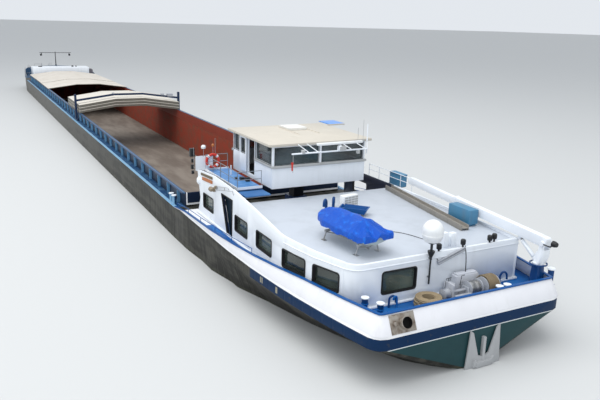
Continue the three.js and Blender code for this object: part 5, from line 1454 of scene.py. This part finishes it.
def make_tarp():
    shape = bmesh.new()
    grid = [[shape.verts.new(on_boat(*p)) for p in row] for row in tarp_grid()]
    for a, b in zip(grid, grid[1:]):
        for k in range(len(a) - 1):
            shape.faces.new((a[k], b[k], b[k + 1], a[k + 1]))
    bmesh.ops.remove_doubles(shape, verts=shape.verts, dist=1e-6)
    sheet = from_bmesh("dinghy_tarpaulin", shape)
    area = sum(p.area for p in sheet.data.polygons)
    thick = sheet.modifiers.new("thickness", "SOLIDIFY")
    thick.thickness = 0.0006
    thick.offset = 1
    sheet = baked(sheet, "dinghy_tarpaulin")
    finish_piece(sheet, tarp_blue, 60)
    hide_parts("dinghy_cover")
    return sheet, area


tarp, tarp_area = make_tarp()
girths = [sum(math.dist(a, b) for a, b in zip(row, row[1:])) for row in tarp_grid()]
print("widest girth", round(max(girths), 4), "m")
twin("dinghy_hull", boat_grey, 0.002, 50)

# %% [markdown]
# ## Roof gear
# The cooling unit has rows of louvres. Two blue swan-neck vents stand near it, a blue skip lies beside it,
# and lamps stand on the aft edge of the roof.


# %% Vents
def swan_neck(at, height, reach, turn):
    """The centreline of an air pipe that rises and bends over."""
    points = [Vector((0, 0, 0)), Vector((0, 0, height * 0.6))]
    for i in range(9):
        angle = math.pi * i / 8
        rise = height * 0.6 + height * 0.4 * math.sin(angle)
        points.append(Vector((reach / 2 - reach / 2 * math.cos(angle), 0, rise)))
    points.append(Vector((reach, 0, height * 0.42)))
    spin = Matrix.Rotation(turn, 3, "Z")
    return [spot(*at) + spin @ p for p in points]


ROOF = 3.783
AFT_FLOOR = 2.088
vents = [swan_neck((9.1, y, ROOF), 0.05, 0.026, turn) for y, turn in ((1.25, 2.2), (0.86, -0.6))]
swept("roof_vents", vents, 0.0068, crane_blue, 12)
vents = [swan_neck((1.9, 2.62, AFT_FLOOR), 0.046, 0.026, -1.9)]
vents.append(swan_neck((1.85, -2.85, AFT_FLOOR), 0.055, 0.03, -1.9))
swept("deck_vents", vents, 0.0042, crane_blue, 12)

# %% Skip
SKIP_AT = spot(7.95, 0.42, ROOF)
SKIP_TURN = Matrix.Rotation(math.radians(43.6), 3, "Z")
SKIP_HALF = (0.052, 0.02)
# How far each ring stands out from the floor's edge, and its height: up the outside and down the inside
SKIP_RINGS = ((0, 0.008), (0.012, 0.032), (0.014, 0.032), (0.014, 0.035), (0.0095, 0.035), (0.002, 0.011))


def skip_box():
    """An open blue tray with sloping sides."""
    shape = bmesh.new()
    rings = []
    for grow, height in SKIP_RINGS:
        x, y = SKIP_HALF[0] + grow, SKIP_HALF[1] + grow
        corners = [Vector((a * x, b * y, height)) for a, b in ((-1, -1), (1, -1), (1, 1), (-1, 1))]
        rings.append([shape.verts.new(SKIP_AT + SKIP_TURN @ corner) for corner in corners])
    for low, high in zip(rings, rings[1:]):
        for k in range(4):
            shape.faces.new((low[k], low[(k + 1) % 4], high[(k + 1) % 4], high[k]))
    shape.faces.new(rings[0])
    shape.faces.new(rings[-1])
    return finish_piece(from_bmesh("roof_skip", shape), cap_blue, 30)


skip_box()
feet = [SKIP_AT + SKIP_TURN @ Vector((x, y, 0.0045)) for x in (-0.04, 0.04) for y in (-0.014, 0.014)]
copied("skip_feet", "box", [(foot, (0.008, 0.008, 0.009)) for foot in feet], dull_zinc)

# %% Lamps on the aft edge: black, on a short stem, with a round lens
AFT_LAMPS = [(-0.98, 0.01), (-2.38, 0.008), (-2.62, 0.012), (0.22, 0.008)]
for i, (y, height) in enumerate(AFT_LAMPS):
    profile = [(0, 0), (0.004, 0), (0.004, height), (0.009, height), (0.0105, height + 0.004)]
    profile += [(0.0105, height + 0.018), (0.008, height + 0.022), (0, height + 0.022)]
    spun(f"aft_lamp_{i + 1}", profile, spot(2.17, y, 3.8825), black_plastic)

# %% What stands and hangs at the aft edge of the roof
CABINETS = [
    ((2.72, -0.5, 4.08), (0.022, 0.022, 0.06)),
    ((2.72, -0.9, 4.05), (0.022, 0.024, 0.054)),
    ((2.76, -0.7, 3.98), (0.012, 0.04, 0.04)),
]
boxes("roof_cabinets", CABINETS, white_enamel)


def lifting_beam():
    """A beam hangs on its side along the aft wall, from two hooks."""
    low, high = spot(2.04, 0.3, 3.4), spot(2.04, -0.98, 3.81)
    across = Vector((0, 0.003, 0.0095))
    chains = [[low, high], [low + across, high + across]]
    swept("lifting_beam", chains, 0.0046, machine_grey, 10, slot="aluminium")
    hooks = [[high + Vector((0, -0.002, 0.012)), spot(2.09, -1.04, 3.95)]]
    hooks.append([low + Vector((0, 0, 0.012)), spot(2.1, 0.34, 3.62)])
    swept("beam_hooks", hooks, 0.0016, mast_grey)


lifting_beam()


# %% [markdown]
# A cable hangs from the roof's edge to the winch, and a hose lies loose across the roof. Both are free
# lines, so each is a smooth curve through a few points, and its length is printed.


# %% Cable down to the winch, and the hose across the roof
def smooth_path(points, steps=12):
    """A Catmull-Rom curve through points."""
    ends = [points[0] * 2 - points[1]] + points + [points[-1] * 2 - points[-2]]
    path = []
    for a, b, c, d in zip(ends, ends[1:], ends[2:], ends[3:]):
        square, cube = 2 * a - 5 * b + 4 * c - d, 3 * b - a - 3 * c + d
        for u in (i / steps for i in range(steps)):
            path.append(0.5 * (2 * b + (c - a) * u + square * u * u + cube * u**3))
    return path + [points[-1]]


def loose_line(name, points, radius):
    path = smooth_path([spot(*p) for p in points])
    line, length = tube_mesh(name, path, radius)
    finish_piece(line, black_rubber, 60)
    tuple(path[0])
    [tuple(p) for p in path]
    print(name, round(length, 3), "m")


hang = [(2.06, -1.0, 3.9), (1.97, -0.99, 3.7), (1.9, -0.97, 3.4), (1.87, -0.96, 3.15), (1.86, -0.96, 2.955)]
loose_line("winch_cable", hang, 0.0018)
HOSE_Z = ROOF + 0.014
hose = [(8.5, 0.75), (7.2, 1.05), (6.2, 1.0), (5.47, 0.66), (4.73, 0.02), (3.76, -0.3)]
hose += [(3.1, -0.42), (2.86, -0.52)]
loose_line("roof_hose", [(s, y, HOSE_Z) for s, y in hose], 0.0012)

# %% [markdown]
# Both faces of the cooling unit carry rows of louvres, all copies of one slat.


# %% Louvres of the cooling unit
def cooler_face():
    low, high = (Vector(corner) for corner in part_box("cooling_unit"))
    turn = Matrix.Rotation(math.radians(12), 3, "Z")
    rows = []
    for side in (-1, 1):
        for column in range(4):
            for row in range(5):
                local = Vector((side * 0.0185, -0.033 + column * 0.022, -0.02 + row * 0.0115))
                rows.append(((low + high) / 2 + turn @ local, (0.0015, 0.018, 0.0075), (0, 0, 12)))
    copied("cooler_louvres", "box", rows, sill_grey)


cooler_face()

# %% [markdown]
# ## Wheelhouse
# Below the windows runs a grey sill, the windows have slim frames, and the yard carries lamps and whip
# aerials. All of it rides on the lifting wheelhouse.

# %% Sills and frames of the wheelhouse
CABIN = spot(14.55, 0, 4.2)
CABIN_X, CABIN_Y = 0.255, 0.27


def cabin_sill():
    """Strips under the windows: fore and aft, to starboard, and to port as far as the door."""
    height = 0.111
    rows = [((side * (CABIN_X + 0.004), 0), (0.008, 2 * CABIN_Y + 0.012, 0.013)) for side in (-1, 1)]
    rows.append(((0, -CABIN_Y - 0.002), (2 * CABIN_X, 0.0036, 0.013)))
    rows.append(((-0.147, CABIN_Y + 0.002), (0.215, 0.0036, 0.013)))
    rows = [(CABIN + Vector((*at, height)), size) for at, size in rows]
    copied("cabin_sills", "box", rows, sill_grey, body="wheelhouse")


cabin_sill()

# %% The box on the starboard side of the house
SIDE_BOX = [((11.6, -4.68, 4.16), (0.11, 0.036, 0.064)), ((11.6, -4.68, 4.5), (0.114, 0.04, 0.005))]
boxes("side_box", SIDE_BOX, locker_teal)
boxes("side_box_arms", [((s, -4.6, 3.83), (0.006, 0.05, 0.006)) for s in (11.2, 12.0)], mast_grey)

# %% Window frames of the wheelhouse
PANES_AFT = [(-0.258, -0.008), (0.008, 0.258)]
PANES_FORE = [(k * 0.064 - 0.058, k * 0.064 + 0.058) for k in (-3, -1, 1, 3)]
PANES_STARBOARD = [(k * 0.081 - 0.072, k * 0.081 + 0.072) for k in (-2, 0, 2)]
PANES_PORT = [(-0.243, -0.049), (0.06, 0.15), (0.16, 0.243)]
PANE_Z = (0.118, 0.206)
PROUD = 0.0005


def pane_loop(axis, out, span):
    (a, b), (low, high) = span, PANE_Z
    corners = [(a, low), (b, low), (b, high), (a, high)]
    if axis == "x":
        return [CABIN + Vector((out, u, v)) for u, v in corners]
    return [CABIN + Vector((u, out, v)) for u, v in corners]


def cabin_frames():
    sides = [("x", -CABIN_X - PROUD, PANES_AFT), ("x", CABIN_X + PROUD, PANES_FORE)]
    sides += [("y", -CABIN_Y - PROUD, PANES_STARBOARD), ("y", CABIN_Y + PROUD, PANES_PORT)]
    loops = [pane_loop(axis, out, span) for axis, out, spans in sides for span in spans]
    swept("cabin_window_frames", loops, 0.0016, black_rubber, 6, True, "wheelhouse")


cabin_frames()
print("wheelhouse dressed")


# %% Lamps and aerials on the yard
def masthead():
    yard_x, yard = CABIN.x - 0.395, CABIN.z + 0.202
    pole_x, roof = CABIN.x - 0.2813, CABIN.z + 0.23
    chains = [[(pole_x, y, roof), (pole_x, y, roof + high)] for y, high in ((-0.236, 0.1), (-0.205, 0.06))]
    chains.append([(yard_x, 0.228, yard), (yard_x, 0.228, yard - 0.09)])
    swept("whip_aerials", chains, 0.0011, sill_grey, 6, body="wheelhouse")
    rows = [
        ((yard_x, -0.04, yard + 0.012), (0.03, 0.036, 0.02)),
        ((yard_x, 0.175, yard + 0.008), (0.02, 0.014, 0.016)),
        ((yard_x, -0.135, yard - 0.012), (0.014, 0.014, 0.018)),
        ((pole_x, -0.22, roof - 0.008), (0.006, 0.05, 0.008)),
    ]
    copied("yard_lamps", "box", rows, sill_grey, body="wheelhouse", slot="black_fittings")


masthead()

# %% [markdown]
# The pennant is a strip of cloth that ripples as it falls.

# %% Pennant
PENNANT_ROWS = 13
ACROSS = (0, 0.25, 0.5, 0.75, 1)


def pennant():
    """A little red cloth that hangs from the port end of the yard."""
    top = Vector((CABIN.x - 0.397, 0.2325, CABIN.z + 0.163))
    lines = []
    for i in range(PENNANT_ROWS):
        down = i / (PENNANT_ROWS - 1)
        fall, width = 0.042 * down, 0.012 * (1 - 0.25 * down)
        line = [(0.002 * math.sin(9 * u + 40 * fall), (u - 0.5) * width, -fall) for u in ACROSS]
        lines.append([top + Vector(point) for point in line])
    shape = bmesh.new()
    rows = [[shape.verts.new(point) for point in line] for line in lines]
    for a, b in zip(rows, rows[1:]):
        for k in range(4):
            shape.faces.new((a[k], a[k + 1], b[k + 1], b[k]))
    cloth = from_bmesh("pennant", shape)
    thick = cloth.modifiers.new("thickness", "SOLIDIFY")
    thick.thickness = 0.0004
    cloth = baked(cloth, "pennant")
    finish_piece(cloth, ring_red, 60, "wheelhouse", "tarpaulin")


pennant()

# %% [markdown]
# ## Crane, gantry and bow
# Small parts that give each of them its outline: a hub and a lamp on the crane, drive boxes on the gantry,
# and lamps, rails and an anchor at the bow.

# %% Crane and gantry fittings
COLUMN_AT = spot(0.73, -3.93, 0)
COLUMN_AT.z = 0.5846
hub = [(0, -0.0265), (0.0105, -0.0265), (0.0105, -0.0245), (0.0105, 0.0245), (0.0105, 0.0265), (0, 0.0265)]
spun("crane_pivot_hub", hub, COLUMN_AT, white_enamel, axis="Y", body="crane_column")
LAMP = [(0, -0.011), (0.009, -0.011), (0.0125, 0.0), (0.0125, 0.009), (0.010, 0.011), (0, 0.011)]
spun("crane_lamp", LAMP, spot(0.29, -3.93, 4.18), black_plastic, axis="X", body="crane_column")
LAMP_ARM = [((0.52, -3.7, 4.1), (0.05, 0.003, 0.004)), ((0.29, -3.81, 4.12), (0.004, 0.024, 0.004))]
boxes("crane_lamp_arm", LAMP_ARM, mast_grey, body="crane_column")
ring = [(0.031, 0.49), (0.036, 0.49), (0.036, 0.4945), (0.031, 0.4945)]
spun("slewing_ring", ring + ring[:1], Vector((spot(0.95, 0, 0).x, -0.393, 0)), crane_blue, 32)
GANTRY_DRIVE = [
    ((53.4, -4.45, 4.2), (0.05, 0.06, 0.03)),
    ((53.3, -3.6, 4.3), (0.03, 0.03, 0.018)),
    ((53.4, 1.6, 4.53), (0.034, 0.022, 0.012)),
]
boxes("gantry_drive", GANTRY_DRIVE, machine_grey, body="gantry")

# %% [markdown]
# Each cover in the stack ends in a rolled edge that catches the light. It is flat in the middle and slopes
# to both sides, like the cover.

# %% Edges of the stacked covers
STACK_X = (-0.2512, 0.4908)
COVER_HALF, COVER_FLAT = 0.5215, 0.15
COVER_RISE = 0.055
STACK_FOOT, COVER_PITCH = 0.4663, 0.03
edges = []
for slab in range(3):
    low = STACK_FOOT + COVER_PITCH * slab
    high = low + COVER_RISE
    section = [(COVER_HALF, low), (COVER_FLAT, high), (-COVER_FLAT, high), (-COVER_HALF, low)]
    edges += [[(x, y, z) for y, z in section] for x in STACK_X]
swept("stack_edges", edges, 0.0032, edge_cream)

# %% Boxes on the fore deck, its house and its mast
BOW_VENT = [((102.6, -4.95, 2.76), (0.1, 0.06, 0.11)), ((102.6, -4.95, 3.36), (0.05, 0.035, 0.016))]
boxes("bow_vent", BOW_VENT, bow_grey)
HOUSE_GEAR = [
    ((102.8, -2.0, 3.87), (0.03, 0.03, 0.022)),
    ((102.9, -2.6, 3.85), (0.02, 0.02, 0.018)),
    ((103.0, 3.2, 3.83), (0.05, 0.06, 0.012)),
]
boxes("bow_house_gear", HOUSE_GEAR, mast_grey)
MAST_LAMPS = [((108, y, 5.5), (0.018, 0.03, 0.032)) for y in (2.38, -2.38)]
boxes("bow_mast_lamps", MAST_LAMPS, black_plastic, body="bow_mast")

# %% [markdown]
# The bow's rails follow the top of its bulwark, so their points are read from the bulwark's own mesh. The
# anchor hangs in the flare of the port bow, where a ray from outside meets the plating.

# %% Rails and anchor at the bow
RAILS_FROM = 4.56
ANCHOR_Z = 0.31
# Offset along and up, and size, of the shank, the two flukes and the crown
ANCHOR = [
    (0, 0.02, (0.014, 0.02, 0.08)),
    (-0.025, -0.02, (0.012, 0.022, 0.05)),
    (0.025, -0.02, (0.012, 0.022, 0.05)),
    (0, -0.045, (0.06, 0.024, 0.014)),
]


def bow_gear():
    tops = {}
    for vertex in frame["nodes"]["bulwark_bow"].data.vertices:
        x, y, z = vertex.co
        key = round(x, 2)
        if y > 0.02 and z > tops.get(key, (0, 0))[1]:
            tops[key] = (y, z)
    line = [Vector((x, y, z)) for x, (y, z) in sorted(tops.items()) if x > RAILS_FROM]
    chains = [[p + Vector((0, -0.004 * k, 0.022 * k)) for p in line] for k in (1, 2)]
    chains += [[p, p + Vector((0, -0.008, 0.044))] for p in line]
    swept("bow_rails", chains, 0.0022, sill_grey)
    plating = frame["nodes"]["hull_bow"].data
    surface = BVHTree.FromPolygons([v.co for v in plating.vertices], [p.vertices for p in plating.polygons])
    place = surface.ray_cast(Vector((spot(106.6, 0, 0).x, 2.0, ANCHOR_Z)), Vector((0, -1, 0)))[0]
    flukes = [(place + Vector((dx, 0.006, dz)), size) for dx, dz, size in ANCHOR]
    copied("port_anchor", "box", flukes, mast_grey)
    print("anchor at", [round(v, 3) for v in place], "rail points", len(line))


bow_gear()

# %% [markdown]
# ## Floor, light and background
# The barge floats, so the studio floor lies at its waterline, with a hole where the hold is open: otherwise
# the floor would show inside it. A broad soft light from above stands in for an overcast sky, and a second
# one fills in the stern from the camera's side.

# %% The studio
FAR = 160
HOLE_X, HOLE_Y = (-3.66, 4.5), (-0.515, 0.515)


def studio():
    mesh = bpy.data.meshes.new("studio_floor")
    outer, inner = ([(x[0], y[0]), (x[1], y[0]), (x[1], y[1]), (x[0], y[1])] for x, y in
                    (((-FAR, FAR), (-FAR, FAR)), (HOLE_X, HOLE_Y)))
    faces = [(k, (k + 1) % 4, (k + 1) % 4 + 4, k + 4) for k in range(4)]
    mesh.from_pydata([(x, y, WATERLINE) for x, y in outer + inner], [], faces)
    floor = new_object("studio_floor", mesh)
    pale = Finish("studio_floor_grey", (0.55, 0.56, 0.56), 0.7)
    mesh.materials.append(pale.material)
    floor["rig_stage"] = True


def area_light(name, at, aim, size, power, colour=(1, 1, 1)):
    data = bpy.data.lights.new(name, "AREA")
    data.shape = "RECTANGLE"
    data.size, data.size_y = size
    data.energy = power
    data.color = colour
    light = bpy.data.objects.new(name, data)
    light.location = at
    light.rotation_euler = (Vector(aim) - Vector(at)).to_track_quat("-Z", "Y").to_euler()
    bpy.context.scene.collection.objects.link(light)


def sky(strength=0.9):
    world = bpy.data.worlds.new("soft_sky")
    world.use_nodes = True
    background = world.node_tree.nodes["Background"]
    background.inputs["Color"].default_value = (0.86, 0.9, 0.95, 1)
    background.inputs["Strength"].default_value = strength
    bpy.context.scene.world = world


studio()
sky()
area_light("sky_panel", (-3, 3, 9), (-1, 0, 0), (12, 8), 800, (1.0, 0.99, 0.97))
area_light("aft_fill", (-12.5, 6.5, 6), (-4.2, 0, 0.4), (8, 5), 260, (0.95, 0.98, 1.0))
print("studio set")

# %% [markdown]
# ## Finish
# The stamps were only tools, so they go. The last step measures the dressed model against the CAD box.

# %% Measure and finish
for stamp in STAMPS.values():
    bpy.data.objects.remove(stamp)
as_lists = lambda box: [[float(v) for v in corner] for corner in box]
{"cad": as_lists(cad_box), "visual": as_lists(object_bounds())}
